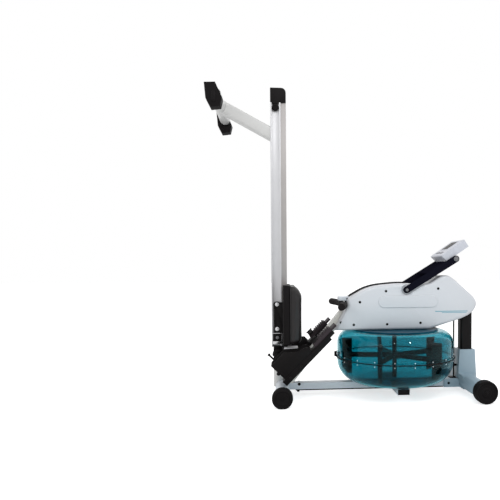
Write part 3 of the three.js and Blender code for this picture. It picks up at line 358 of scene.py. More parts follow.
def round_corners(low, high, corner, steps=8):
    """Points (u, v) of a rectangle with round corners."""
    points = []
    for u, v, start in ((high[0] - corner, high[1] - corner, 0), (low[0] + corner, high[1] - corner, 90),
                        (low[0] + corner, low[1] + corner, 180), (high[0] - corner, low[1] + corner, 270)):
        points += arc((u, v), corner, start, start + 90, steps)
    return points


def side_outline(low, high, corner, y):
    """A rectangle with round corners in the XZ plane, in the machine's own frame."""
    return [place(x, y, z) for x, z in round_corners(low, high, corner)]


class Tree:
    """Short ways to add and link the nodes of one material or node group."""

    def __init__(self, tree):
        self.tree = tree

    def fed(self, made, values):
        """Links or sets the inputs of a node."""
        for socket, value in values.items():
            if isinstance(value, bpy.types.NodeSocket):
                self.tree.links.new(value, made.inputs[socket])
            else:
                made.inputs[socket].default_value = value
        return made

    def node(self, kind, values=None, **settings):
        made = self.tree.nodes.new(kind)
        for key, value in settings.items():
            setattr(made, key, value)
        return self.fed(made, values or {})

    def maths(self, operation, first, second=0.0, clamp=False):
        return self.node("ShaderNodeMath", {0: first, 1: second}, operation=operation, use_clamp=clamp).outputs[0]

    def noise(self, vector, scale, detail=3.0, rough=0.5, distortion=0.0):
        return self.node("ShaderNodeTexNoise", {"Vector": vector, "Scale": scale, "Detail": detail,
                                                "Roughness": rough, "Distortion": distortion}).outputs["Fac"]

    def ranged(self, value, low, high, to_low=0.0, to_high=1.0):
        return self.node("ShaderNodeMapRange", {"Value": value, "From Min": low, "From Max": high,
                                                "To Min": to_low, "To Max": to_high}).outputs["Result"]

    def mixed(self, factor, first, second):
        return self.node("ShaderNodeMix", {0: factor, 6: first, 7: second}, data_type="RGBA").outputs[2]

    def scaled(self, vector, operation, values):
        return self.node("ShaderNodeVectorMath", {0: vector, **values}, operation=operation).outputs[0]

    def weighed(self, first, share, second, other_share):
        """The sum of two values, each times its share."""
        return self.maths("ADD", self.maths("MULTIPLY", first, share), self.maths("MULTIPLY", second, other_share))

    def effect(self, group, values):
        """One effect in a material, with its own values."""
        return self.node("ShaderNodeGroup", values, node_tree=group()).outputs


def effect(name, inputs, outputs, build):
    """A node group with named sockets, built once and kept under its name."""
    if name in bpy.data.node_groups:
        return bpy.data.node_groups[name]
    tree = bpy.data.node_groups.new(name, "ShaderNodeTree")
    kinds = {"vector": "NodeSocketVector", "number": "NodeSocketFloat", "colour": "NodeSocketColor"}
    for label, kind, value in (("Vector", "vector", None), *inputs):
        socket = tree.interface.new_socket(label, in_out="INPUT", socket_type=kinds[kind])
        if value is not None:
            socket.default_value = value
    for label, kind in outputs:
        tree.interface.new_socket(label, in_out="OUTPUT", socket_type=kinds[kind])
    entry = tree.nodes.new("NodeGroupInput").outputs
    leave = tree.nodes.new("NodeGroupOutput").inputs
    for label, socket in build(Tree(tree), entry).items():
        tree.links.new(socket, leave[label])
    return tree


def mottled_colour():
    """A colour and a roughness that vary together in clouds and specks."""
    def build(t, entry):
        cloud = t.noise(entry["Vector"], entry["Scale"], 4.0, 0.55)
        speck = t.noise(entry["Vector"], t.maths("MULTIPLY", entry["Scale"], 23.0), 2.0)
        mask = t.ranged(t.weighed(cloud, 0.75, speck, 0.25), 0.3, 0.7)
        low = t.maths("SUBTRACT", 1.0, entry["Variation"])
        high = t.maths("ADD", 1.0, entry["Variation"])
        colour = t.scaled(entry["Colour"], "SCALE", {"Scale": t.ranged(mask, 0.0, 1.0, low, high)})
        change = t.maths("MULTIPLY", t.maths("SUBTRACT", mask, 0.5), entry["Roughness change"])
        rough = t.maths("ADD", entry["Roughness"], change, clamp=True)
        return {"Colour": colour, "Roughness": rough, "Mask": mask}
    return effect("Mottled colour", [("Colour", "colour", (0.5, 0.5, 0.5, 1)), ("Variation", "number", 0.06),
                                     ("Scale", "number", 9.0), ("Roughness", "number", 0.5),
                                     ("Roughness change", "number", 0.1)],
                  [("Colour", "colour"), ("Roughness", "number"), ("Mask", "number")], build)


def edge_wear():
    """Patches along the edges."""
    def build(t, entry):
        edge = t.ranged(t.node("ShaderNodeNewGeometry").outputs["Pointiness"], 0.51, 0.58)
        patch = t.ranged(t.noise(entry["Vector"], entry["Scale"], 5.0, 0.65), 0.42, 0.62)
        return {"Mask": t.maths("MULTIPLY", t.maths("MULTIPLY", edge, patch), entry["Amount"], clamp=True)}
    return effect("Edge wear", [("Scale", "number", 60.0), ("Amount", "number", 0.5)], [("Mask", "number")], build)


def settled_dust():
    """Patches on the faces that look up."""
    def build(t, entry):
        normal = t.node("ShaderNodeNewGeometry").outputs["Normal"]
        lying = t.ranged(t.node("ShaderNodeSeparateXYZ", {"Vector": normal}).outputs["Z"], 0.55, 1.0)
        patch = t.ranged(t.noise(entry["Vector"], 26.0, 5.0, 0.6), 0.35, 0.75)
        return {"Mask": t.maths("MULTIPLY", t.maths("MULTIPLY", lying, patch), entry["Amount"], clamp=True)}
    return effect("Settled dust", [("Amount", "number", 0.1)], [("Mask", "number")], build)


def moulded_grain():
    """Rounded pebbles with finer noise over them."""
    def build(t, entry):
        pebble = t.node("ShaderNodeTexVoronoi", {"Vector": entry["Vector"], "Scale": entry["Scale"]},
                        feature="SMOOTH_F1").outputs["Distance"]
        fine = t.noise(entry["Vector"], t.maths("MULTIPLY", entry["Scale"], 0.45), 3.0, 0.6)
        return {"Height": t.maths("MULTIPLY", t.weighed(pebble, 0.6, fine, 0.4), entry["Depth"])}
    return effect("Moulded grain", [("Scale", "number", 900.0), ("Depth", "number", 1.0)],
                  [("Height", "number")], build)


def drawn_lines():
    """Fine lines along one direction, as an extrusion's die leaves them."""
    def build(t, entry):
        squeezed = t.scaled(entry["Vector"], "MULTIPLY", {1: entry["Stretch"]})
        mask = t.ranged(t.noise(squeezed, 1.0, 5.0, 0.7), 0.3, 0.7)
        return {"Mask": mask, "Height": t.maths("MULTIPLY", mask, entry["Depth"])}
    return effect("Drawn lines", [("Stretch", "vector", (900, 900, 3)), ("Depth", "number", 0.4)],
                  [("Mask", "number"), ("Height", "number")], build)


def woven_threads():
    """A plain weave of two sets of threads across a surface's own map."""
    def build(t, entry):
        lines = {"Scale": entry["Threads"], "Vector": entry["Vector"]}
        warp = t.node("ShaderNodeTexWave", lines, bands_direction="X").outputs["Fac"]
        weft = t.node("ShaderNodeTexWave", lines, bands_direction="Y").outputs["Fac"]
        squares = t.maths("MULTIPLY", entry["Threads"], 3.183)
        checks = t.node("ShaderNodeTexChecker", {"Vector": entry["Vector"], "Scale": squares}).outputs["Fac"]
        over = t.node("ShaderNodeMix", {0: checks, 2: warp, 3: weft}).outputs[0]
        fuzz = t.noise(entry["Vector"], t.maths("MULTIPLY", entry["Threads"], 2.3), 3.0)
        return {"Height": t.weighed(over, 0.8, fuzz, 0.3), "Mask": over}
    return effect("Woven threads", [("Threads", "number", 200.0)], [("Height", "number"), ("Mask", "number")], build)


def principled(name, values):
    """A new material with its shader and its object coordinates."""
    material = bpy.data.materials.new(name)
    material.use_nodes = True
    t = Tree(material.node_tree)
    shader = t.fed(material.node_tree.nodes["Principled BSDF"], values)
    return material, t, shader, t.node("ShaderNodeTexCoord").outputs["Object"]


def mottled(t, shader, at, colour, variation, scale, rough, change):
    """Gives the shader a mottled roughness, and returns the mottled colour."""
    base = t.effect(mottled_colour, {"Vector": at, "Colour": colour, "Variation": variation, "Scale": scale,
                                     "Roughness": rough, "Roughness change": change})
    t.fed(shader, {"Roughness": base["Roughness"]})
    return base["Colour"]


def embossed(t, shader, height, strength, distance):
    relief = t.node("ShaderNodeBump", {"Height": height, "Strength": strength, "Distance": distance})
    t.fed(shader, {"Normal": relief.outputs["Normal"]})


DUST_COLOUR = shade(0.72, 0.71, 0.69)
SHINE, COAT, COAT_ROUGH = "Specular IOR Level", "Coat Weight", "Coat Roughness"


def coated(name, colour, rough, metal=0.0, variation=0.05, mottle=9.0, rough_change=0.12, grain=900.0, depth=0.25,
           bump=0.00012, wear=0.0, worn=None, dust=0.06, lines=None, sockets=None):
    """A painted, plated or moulded finish: mottled colour, worn edges, dust on top and a fine grain."""
    material, t, shader, at = principled(name, {"Metallic": metal, **(sockets or {})})
    tint = mottled(t, shader, at, colour, variation, mottle, rough, rough_change)
    if wear:
        tint = t.mixed(t.effect(edge_wear, {"Vector": at, "Scale": 70.0, "Amount": wear})["Mask"], tint, worn)
    if dust:
        tint = t.mixed(t.effect(settled_dust, {"Vector": at, "Amount": dust})["Mask"], tint, DUST_COLOUR)
    t.fed(shader, {"Base Color": tint})
    height = t.effect(moulded_grain, {"Vector": at, "Scale": grain, "Depth": depth})["Height"]
    if lines:
        drawn_out = t.effect(drawn_lines, {"Vector": at, "Stretch": lines, "Depth": 0.8})
        height = t.maths("ADD", height, drawn_out["Height"])
    embossed(t, shader, height, 0.6, bump)
    return material


def foam_grip(name, colour):
    """Closed-cell foam with its small open pores."""
    material, t, shader, at = principled(name, {SHINE: 0.15})
    t.fed(shader, {"Base Color": mottled(t, shader, at, colour, 0.1, 30.0, 0.88, 0.1)})
    pores = t.node("ShaderNodeTexVoronoi", {"Vector": at, "Scale": 620.0}).outputs["Distance"]
    wide = t.maths("MULTIPLY", t.noise(at, 130.0, 4.0, 0.6), 0.7)
    embossed(t, shader, t.maths("ADD", t.ranged(pores, 0.05, 0.4), wide), 0.9, 0.0005)
    return material


def webbing(name, colour):
    """Woven nylon tape: threads follow the tape's own map."""
    material, t, shader, at = principled(name, {SHINE: 0.2})
    weave = t.effect(woven_threads, {"Vector": t.node("ShaderNodeTexCoord").outputs["UV"], "Threads": 190.0})
    thread = t.mixed(weave["Mask"], colour, shade(0.13, 0.12, 0.125))
    t.fed(shader, {"Base Color": mottled(t, shader, at, thread, 0.12, 22.0, 0.78, 0.14)})
    embossed(t, shader, weave["Height"], 0.8, 0.0004)
    return material


def seat_skin(name, colour):
    """Soft moulded skin with a fine pebbled grain and faint creases."""
    material, t, shader, at = principled(name, {SHINE: 0.42})
    tint = mottled(t, shader, at, colour, 0.08, 12.0, 0.42, 0.12)
    worn = t.effect(edge_wear, {"Vector": at, "Scale": 40.0, "Amount": 0.1})["Mask"]
    dust = t.effect(settled_dust, {"Vector": at, "Amount": 0.012})["Mask"]
    tint = t.mixed(dust, t.mixed(worn, tint, shade(0.22, 0.2, 0.2)), shade(0.5, 0.49, 0.48))
    t.fed(shader, {"Base Color": tint})
    pebble = t.effect(moulded_grain, {"Vector": at, "Scale": 420.0, "Depth": 1.0})["Height"]
    crease = t.maths("MULTIPLY", t.noise(at, 55.0, 6.0, 0.65, 0.6), 0.8)
    embossed(t, shader, t.maths("ADD", pebble, crease), 0.75, 0.0005)
    return material


def clear(name, colour, refraction, variation, mottle, flow, distortion):
    """A clear tinted stuff with faint flow lines."""
    material, t, shader, at = principled(name, {"IOR": refraction, "Transmission Weight": 1.0})
    t.fed(shader, {"Base Color": mottled(t, shader, at, colour, variation, mottle, 0.0, 0.0)})
    embossed(t, shader, t.noise(at, flow, 1.0, 0.4, distortion), 0.2, 0.002)
    return material


def tank_plastic(name, colour):
    return clear(name, colour, 1.22, 0.05, 6.0, 7.0, 0.0)


def tank_water(name, colour):
    return clear(name, colour, 1.0, 0.1, 5.0, 9.0, 0.2)


def screen_glass(name, colour):
    """Blank display behind a smooth dark window."""
    material, t, shader, at = principled(name, {SHINE: 0.03})
    t.fed(shader, {"Base Color": mottled(t, shader, at, colour, 0.03, 45.0, 0.45, 0.05)})
    return material


GLOSS = {COAT: 0.25, COAT_ROUGH: 0.2}
SHELL_GLOSS = {COAT: 0.3, COAT_ROUGH: 0.14}
# Each finish: the name of its slot, its name, its colour or the setting that holds it, how it is made, and values
FINISHES = {
    "white_paint": ("white_paint", "White powder coat", "paint", coated, dict(
        rough=0.42, variation=0.018, mottle=7, grain=520, depth=0.5, bump=0.00022, wear=0.12,
        worn=shade(0.7, 0.72, 0.74), dust=0.02, sockets=GLOSS)),
    "silver_paint": ("white_paint", "Silver-white powder coat", shade(0.83, 0.83, 0.825), coated, dict(
        rough=0.4, variation=0.015, mottle=7, grain=520, depth=0.5, bump=0.0002, wear=0.08,
        worn=shade(0.74, 0.74, 0.74), dust=0.015, sockets=GLOSS)),
    "cream_paint": ("cream_paint", "Cream paint", "cream", coated, dict(
        rough=0.4, variation=0.02, mottle=7, grain=520, depth=0.5, bump=0.0002, wear=0.2,
        worn=shade(0.65, 0.64, 0.6), dust=0.05, sockets=GLOSS)),
    "white_shell": ("white_shell", "White moulded shell", "shell", coated, dict(
        rough=0.33, variation=0.012, mottle=5, grain=1300, depth=0.3, bump=0.00008, wear=0.08,
        worn=shade(0.76, 0.78, 0.8), dust=0.02, sockets=SHELL_GLOSS)),
    # The front cover's own light blue-grey, darkened and tinted teal as painted reflection of the tank and painted
    # shade
    "cover_shell": ("white_shell", "Front cover shell", shade(0.61, 0.69, 0.74), coated, dict(
        rough=0.34, variation=0.03, mottle=5, grain=1300, depth=0.3, bump=0.00008, wear=0.05,
        worn=shade(0.75, 0.78, 0.8), dust=0.01, sockets=SHELL_GLOSS)),
    "stripe_paint": ("white_shell", "Teal stripe", shade(0.3, 0.62, 0.7), coated, dict(
        rough=0.35, variation=0.04, mottle=30, depth=0.2, bump=0.00004, dust=0.03)),
    "console_shell": ("console_shell", "Console shell", "console", coated, dict(
        rough=0.45, variation=0.015, grain=1500, depth=0.6, bump=0.0001, wear=0.15,
        worn=shade(0.66, 0.66, 0.67), dust=0.05)),
    "screen_glass": ("console_shell", "Display window", shade(0.35, 0.35, 0.345), screen_glass, {}),
    "button_rubber": ("button_rubber", "Silicone key", shade(0.58, 0.58, 0.6), coated, dict(
        rough=0.55, variation=0.03, mottle=40, grain=1500, depth=0.5)),
    "black_paint": ("black_paint", "Black powder coat", "black", coated, dict(
        rough=0.42, variation=0.06, mottle=10, rough_change=0.05, grain=600, depth=0.6, wear=0.06,
        worn=shade(0.22, 0.21, 0.21), dust=0.0, sockets={SHINE: 0.16})),
    "arm_paint": ("black_paint", "Blue-black powder coat", shade(0.085, 0.085, 0.125), coated, dict(
        rough=0.5, variation=0.06, mottle=10, rough_change=0.05, grain=600, depth=0.6, dust=0.0,
        sockets={SHINE: 0.0})),
    "black_plastic": ("black_plastic", "Black grained plastic", "black", coated, dict(
        rough=0.5, variation=0.06, mottle=11, rough_change=0.05, grain=1100, depth=0.9, wear=0.06,
        worn=shade(0.2, 0.18, 0.18), dust=0.0, sockets={SHINE: 0.13})),
    "toe_plastic": ("black_plastic", "Grey-black toe plate", shade(0.22, 0.19, 0.205), coated, dict(
        rough=0.6, variation=0.06, mottle=11, rough_change=0.05, grain=1100, depth=0.9, dust=0.0,
        sockets={SHINE: 0.15})),
    "smoked_plastic": ("black_plastic", "Smoked tank collar", shade(0.03, 0.27, 0.35), coated, dict(
        rough=0.35, variation=0.08, mottle=12, depth=0.2, bump=0.00005, dust=0.0, sockets={SHINE: 0.12})),
    "black_rubber": ("black_rubber", "Black rubber", "rubber", coated, dict(
        rough=0.62, variation=0.07, mottle=14, rough_change=0.05, grain=850, depth=0.8, bump=0.00014, wear=0.06,
        worn=shade(0.2, 0.18, 0.18), dust=0.004, sockets={SHINE: 0.12})),
    "black_foam": ("black_foam", "Foam grip", shade(0.11, 0.095, 0.1), foam_grip, {}),
    "black_webbing": ("black_webbing", "Woven webbing", shade(0.035, 0.03, 0.035), webbing, {}),
    "seat_skin": ("seat_skin", "Seat skin", shade(0.085, 0.07, 0.072), seat_skin, {}),
    "clear_tank": ("clear_tank", "Clear tank", "tank", tank_plastic, {}),
    "tank_water": ("clear_tank", "Dyed water", "water", tank_water, {}),
    "zinc_steel": ("zinc_steel", "Zinc plated steel", shade(0.74, 0.74, 0.75), coated, dict(
        rough=0.3, metal=1.0, variation=0.08, mottle=60, rough_change=0.16, grain=700, depth=0.3, bump=0.00008,
        dust=0.04)),
    "bright_steel": ("zinc_steel", "Polished steel", shade(0.86, 0.86, 0.87), coated, dict(
        rough=0.2, metal=1.0, mottle=40, rough_change=0.1, grain=400, depth=0.2, bump=0.00005, dust=0.03)),
    "grey_steel": ("zinc_steel", "Grey bolt steel", shade(0.5, 0.5, 0.51), coated, dict(
        rough=0.45, metal=0.5, variation=0.06, mottle=40, rough_change=0.06, grain=500, depth=0.2, bump=0.00005,
        dust=0.0, sockets={SHINE: 0.3})),
    "satin_steel": ("zinc_steel", "Satin steel", shade(0.93, 0.93, 0.94), coated, dict(
        rough=0.45, metal=0.25, variation=0.03, mottle=40, rough_change=0.06, grain=500, depth=0.2, bump=0.00005,
        dust=0.0)),
    "rail_metal": ("rail_aluminium", "Drawn aluminium", "rail", coated, dict(
        rough=0.4, metal=0.35, variation=0.03, mottle=12, rough_change=0.06, grain=1200, depth=0.1, bump=0.00007,
        wear=0.15, worn=shade(0.9, 0.9, 0.9), dust=0.02, lines=(700, 700, 2.0))),
    # A darker copy of the rail's aluminium: painted shade on the recessed track side
    "shaded_track_metal": ("rail_aluminium", "Darker track aluminium", shade(0.67, 0.655, 0.65), coated, dict(
        rough=0.4, metal=0.35, variation=0.03, mottle=12, rough_change=0.06, grain=1200, depth=0.1, bump=0.00007,
        dust=0.0, lines=(700, 700, 2.0))),
    "roller_plastic": ("roller_plastic", "Roller plastic", shade(0.3, 0.3, 0.31), coated, dict(
        rough=0.35, variation=0.08, mottle=60, grain=600, depth=0.3)),
    "paddle_plastic": ("paddle_plastic", "Paddle plastic", shade(0.015, 0.035, 0.045), coated, dict(
        rough=0.5, variation=0.1, mottle=14, depth=0.4, dust=0.0)),
}


def finished(finish):
    """The material of a finish, made the first time that it is asked for."""
    _, name, colour, make, values = FINISHES[finish]
    if name in bpy.data.materials:
        return bpy.data.materials[name]
    if isinstance(colour, str):
        colour = (*getattr(bpy.context.scene.rower_colours, colour), 1)
    return make(name, colour, **values)


def given(obj, body, finish):
    """Sets a finished piece's material and the body it rides on."""
    obj.data.materials.clear()
    obj.data.materials.append(finished(finish))
    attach(obj, body)
    return obj


# Pieces that only take round edges and a finish: body, finish, nodes and the round's width in millimetres, then where
# it differs the round's segments, the angle from which an edge is sharp and the angle from which it shows
PLAIN_PIECES = (
    ("frame", "silver_paint", "mid_neck", 1.5),
    ("frame", "white_paint", "main_beam tank_arm_far tank_arm_near mid_tube", 1.2),
    ("frame", "white_paint", "handle_rest", 2),
    ("frame", "cream_paint", "incline_tube", 1.5),
    ("frame", "white_shell", "housing_far housing_near", 0.6, 2, 55, 40),
    ("frame", "cover_shell", "front_cover", 2.5, 4, 34, 50),
    ("frame", "black_paint", "front_axle stay_rod arm_axle", 0.6),
    ("frame", "black_paint", "front_post", 0.4),
    ("frame", "black_paint", "fold_bracket fold_bolt", 0.8),
    ("frame", "zinc_steel", "foot_bar", 0.6),
    ("frame", "black_plastic", "beam_skid", 0.6),
    ("frame", "black_plastic", "footrest_far footrest_near", 1.2),
    ("frame", "black_plastic", "heel_cup_far heel_cup_near", 1.8),
    ("frame", "black_rubber", "mid_cap_far mid_cap_near", 4, 4, 50, 50),
    ("rail", "rail_metal", "rail", 0.6),
    ("rail", "black_plastic", "rail_cap", 1.5),
    ("rail", "black_plastic", "rail_bracket", 1),
    ("rail", "silver_paint", "rear_leg", 0),
    ("rail", "silver_paint", "rear_tube", 1.2),
    ("rail", "black_rubber", "rear_foot_far rear_foot_near", 5, 4, 40, 50),
    ("seat", "black_plastic", "seat_base", 1.5),
    ("seat", "black_paint", "seat_carriage", 1),
    ("impeller", "paddle_plastic", "impeller", 1.2),
    ("strap_drum", "black_plastic", "strap_drum", 0.8),
    ("console_arm", "arm_paint", "console_arm", 1.2),
    ("console", "console_shell", "console_case", 2.8, 4, 34, 50),
    ("lock_pin", "black_paint", "lock_pin", 0.5),
    ("toe_far", "toe_plastic", "toe_plate_far", 1.2),
    ("toe_near", "toe_plastic", "toe_plate_near", 1.2),
)


class Builder:
    """Shared by the operators: each builds its own pieces."""

    def execute(self, context):
        self.build(context.scene)
        return {"FINISHED"}


def turned(name, profile, x, z, sign, steps):
    """Turns a profile of (radius, reach) about a cross axis, with the reach counted from the machine's middle."""
    start = profile[0][1]
    return spun(name, metres(profile, start), place(x, start * sign, z), (0, sign, 0), steps)


def side_bolt(name, x, y, z, sign, radius, height, sides=6):
    """A bolt head that faces outwards on one side of the machine."""
    return bolt_head(name, place(x, y * sign, z), (0, sign, 0), radius, height, sides)


class ROWER_OT_frame(Builder, bpy.types.Operator):
    """Give the plain pieces their rounded edges and finishes"""
    bl_idname = "rower.frame"
    bl_label = "Plain pieces"

    def build(self, scene):
        for body, finish, nodes, width, *how in PLAIN_PIECES:
            for node in nodes.split():
                given(refined(node, width * MM, *how), body, finish)


# Half of the tank's rim, out from the tank's radius and up from the seam's gap
RIM_GAP, RIM_LIP = 2.3, ((0, 5.4), (0.6, 5), (4.6, 5), (5, 4.6), (5, 0), (-TANK_WALL, 0))
LID_LOW = 282.6
LID = [(14.5, LID_LOW), (188, LID_LOW), *arc((188, 284.6), 2, -90, 0, 3), *arc((187, 285.6), 3, 0, 90, 4),
       (168, 287.6), (166, 286.4), (22, 286.4), (20, 287.6), (14.5, 287.6), (14.5, LID_LOW)]
GASKET_OUT, GASKET_HALF = TANK_RADIUS + 6, 2
GASKET = [(TANK_RADIUS - 4, SEAM_Z - GASKET_HALF), (GASKET_OUT, SEAM_Z - GASKET_HALF),
          *arc((GASKET_OUT, SEAM_Z), GASKET_HALF, -90, 90, 8), (TANK_RADIUS - 4, SEAM_Z + GASKET_HALF),
          (TANK_RADIUS - 4, SEAM_Z - GASKET_HALF)]
WATER_IN = 0.5
SEAM_BOLT_OUT, SEAM_BOLT_UP, SEAM_BOLT_TURN = 2.5, 7.4, 0.3
# The valve as shares of its radius and length, and the collar behind it
VALVE_DROP, VALVE_MORE = 0.01, 0.004
VALVE_SHARES = ((0, 0), (0.7, 0), (0.7, 0.3), (1, 0.34), (1, 0.5), (0.93, 0.53), (0.93, 0.6), (1, 0.63), (1, 0.86),
                (0.86, 1), (0.4, 1), (0.35, 0.9), (0, 0.9))
COLLAR_ALONG = 0.16
COLLAR = ((0.7, 0), (1.25, 0), (1.25, 2.8), (1.1, 3.6), (0.7, 3.6), (0.7, 0))


def wall_profile(sign, end, corner, inner, steps):
    """Half of the tank's wall, from its floor (sign -1) or top to the rim at the seam."""
    rim = SEAM_Z + RIM_GAP * sign
    centre = (TANK_RADIUS - corner, end - corner * sign)
    profile = [(inner, end), *arc(centre, corner, 90 * sign, 0, steps),
               *((TANK_RADIUS + out, rim + up * sign) for out, up in RIM_LIP),
               *arc(centre, corner - TANK_WALL, 0, 90 * sign, steps), (inner, end - TANK_WALL * sign)]
    return [*profile, profile[0]] if inner else profile


def water_profile(level):
    inside = TANK_WALL + WATER_IN
    depth = max(level - (TANK_TOP - BELL_CORNER), 0)
    edge = TANK_RADIUS - BELL_CORNER + math.sqrt(max((BELL_CORNER - inside) ** 2 - depth ** 2, 0))
    return [(0, TANK_FLOOR + inside),
            *arc((TANK_RADIUS - BOWL_CORNER, TANK_FLOOR + BOWL_CORNER), BOWL_CORNER - inside, -90, 0, 14),
            (TANK_RADIUS - inside, level - depth - 1), (edge, level - 0.6), (edge - 2.5, level - 1.2),
            (0, level - 1.2)]


class ROWER_OT_tank(Builder, bpy.types.Operator):
    """Turn the clear tank, fill it and close its seam"""
    bl_idname = "rower.tank"
    bl_label = "Tank"

    def build(self, scene):
        level = scene.rower_sizes.water_level / MM
        for node, profile, finish, steps, soft in (
                ("tank_bowl", wall_profile(-1, TANK_FLOOR, BOWL_CORNER, 0, 14), "clear_tank", 128, 28),
                ("tank_bell", wall_profile(1, TANK_TOP, BELL_CORNER, 14, 12), "clear_tank", 128, 28),
                ("tank_gasket", GASKET, "black_rubber", 128, 34), ("tank_lid", LID, "smoked_plastic", 96, 34),
                ("tank_water", water_profile(level), "tank_water", 96, 28)):
            liquid = node == "tank_water"
            name = node if liquid else node + "_shown"
            made = softened(spun(name, metres(profile), place(TANK_X, 0, 0), UP, steps), soft)
            given(made, "frame", finish)
            if not liquid:
                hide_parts(node)
        self.seam_bolts(scene.rower_sizes.seam_bolts)
        self.valve()

    def seam_bolts(self, count):
        pieces = []
        reach = TANK_RADIUS + SEAM_BOLT_OUT
        for step in range(count):
            angle = math.tau * (step + SEAM_BOLT_TURN) / count
            for way in (1, -1):
                at = place(TANK_X + reach * math.cos(angle), reach * math.sin(angle), SEAM_Z + SEAM_BOLT_UP * way)
                pieces.append(bolt_head("seam_bolt", at, (0, 0, way), 0.0019, 0.0034, socket=False))
        given(joined("tank_seam_bolts", pieces), "frame", "bright_steel")

    def valve(self):
        low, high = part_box("tank_valve")
        start = Vector((high[0], 0, (low[2] + high[2]) / 2 - VALVE_DROP))
        length, radius = high[0] - low[0], 0.5 * (high[2] - low[2]) + VALVE_MORE
        body = spun("tank_valve_shown", [(radius * out, length * along) for out, along in VALVE_SHARES],
                    start, (-1, 0, 0), 40)
        given(softened(body), "frame", "black_rubber")
        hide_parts("tank_valve")
        collar = spun("valve_collar", [(radius * out, along * MM) for out, along in COLLAR],
                      start - Vector((length * COLLAR_ALONG, 0, 0)), (-1, 0, 0), 40)
        given(softened(collar), "frame", "bright_steel")


HOUSING_SIDE = 80
SCREW_SPOTS = [(444.8, 455), (331.6, 408.7), (250, 322.5), (305.1, 312), (449.5, 312.9), (596, 317), (674, 464.4)]
# A screw cap as shares of its radius and heights in millimetres
SCREW_CAP = ((0, -0.4), (1, -0.4), (1, 0.6), (0.86, 1.1), (0.66, 1.1), (0.6, 0.3), (0.34, 0.3), (0.3, 0.9), (0, 1))
PANEL_LOW, PANEL_HIGH, PANEL_CORNER = (412, 384), (672, 436), 25.9
# Each stripe from x to x, its height and half its width
STRIPES = ((660, 806, 366, 1.5), (690, 800, 360, 1.1))
POCKET_RADIUS, POCKET_STEP = 25, 8
BAND_START, BAND_END, BAND_STEPS = 262, 546, 32


class ROWER_OT_housing(Builder, bpy.types.Operator):
    """Fit the housing's screws, raised panels, pocket rims and top band"""
    bl_idname = "rower.housing"
    bl_label = "Housing"

    def build(self, scene):
        radius = scene.rower_sizes.screw / 2
        for side, sign in SIDES:
            shell = bpy.data.objects["housing_" + side + "_shown"]
            screws = [self.screw(self.struck(shell, x, z, sign), sign, radius) for x, z in SCREW_SPOTS]
            given(joined("housing_screws_" + side, screws), "frame", "black_plastic")
            self.panel(side, sign)
            self.pocket_rim(shell, side, sign)
        self.top_band()

    def struck(self, shell, x, z, sign, flattest=0.0):
        """The point of a housing half's side at this place, or None where the side is steeper than asked."""
        hit, spot, normal, _ = shell.ray_cast(place(x, 1.5 * HOUSING_SIDE * sign, z), Vector((0, -sign, 0)))
        if hit:
            return spot if abs(normal.y) > flattest else None
        return None if flattest else place(x, HOUSING_SIDE * sign, z)

    def pocket_rim(self, shell, side, sign):
        """The moulded lip round the pocket that the console arm's bar lies in."""
        foot = Vector(ARM_FOOT)
        lean = (Vector(ARM_HEAD) - foot).normalized()
        aside = Vector((lean.y, -lean.x)) * POCKET_RADIUS
        spots = [foot + aside + lean * reach for reach in range(112, 0, -POCKET_STEP)]
        spots += [foot + aside * math.cos(math.pi * step / 12) - lean * POCKET_RADIUS * math.sin(math.pi * step / 12)
                  for step in range(13)]
        spots += [foot - aside + lean * reach for reach in range(8, 56, POCKET_STEP)]
        struck = [self.struck(shell, *spot, sign, 0.8) for spot in spots]
        path = [at - Vector((0, sign * 0.0008, 0)) for at in struck if at is not None]
        if len(path) > 3:
            rim = swept("housing_pocket_rim_" + side, eased(path, 1), 0.0026, 12)
            given(softened(rim, 60), "frame", "white_shell")

    def screw(self, at, sign, radius):
        cap = spun("housing_screw", [(radius * out, up * MM) for out, up in SCREW_CAP], at, (0, sign, 0), 28)
        return softened(cap, 30)

    def panel(self, side, sign):
        """The raised panel, and the two thin stripes beside it."""
        outline = side_outline(PANEL_LOW, PANEL_HIGH, PANEL_CORNER, (HOUSING_SIDE - 0.6) * sign)
        raised = pressed("housing_panel_" + side, outline, (0, 0.0046 * sign, 0))
        rounded(raised, 0.0036, 6, 40)
        given(softened(raised, 60), "frame", "white_shell")
        lines = []
        for low, high, z, half in STRIPES:
            outline = side_outline((low, z - half), (high, z + half), half * 0.99, HOUSING_SIDE * sign)
            lines.append(pressed("stripe", outline, (0, 0.0002 * sign, 0)))
        given(softened(joined("housing_stripe_" + side, lines)), "frame", "stripe_paint")

    def top_band(self):
        """A flat black band along the ridge, laid on the housing's own top."""
        shell = bpy.data.objects["housing_near_shown"]
        path = []
        for step in range(BAND_STEPS + 1):
            above = place(BAND_START + (BAND_END - BAND_START) * step / BAND_STEPS, -3, 700)
            hit, spot, _, _ = shell.ray_cast(above, Vector((0, 0, -1)))
            if hit:
                path.append(Vector((spot.x, 0, spot.z)))
        for _ in range(2):
            path = [path[0], *[(a + b * 2 + c) / 4 for a, b, c in zip(path, path[1:], path[2:])], path[-1]]
        given(band("housing_top_band", path, 0.022, 0.0065, lift=0.0004), "frame", "black_webbing")


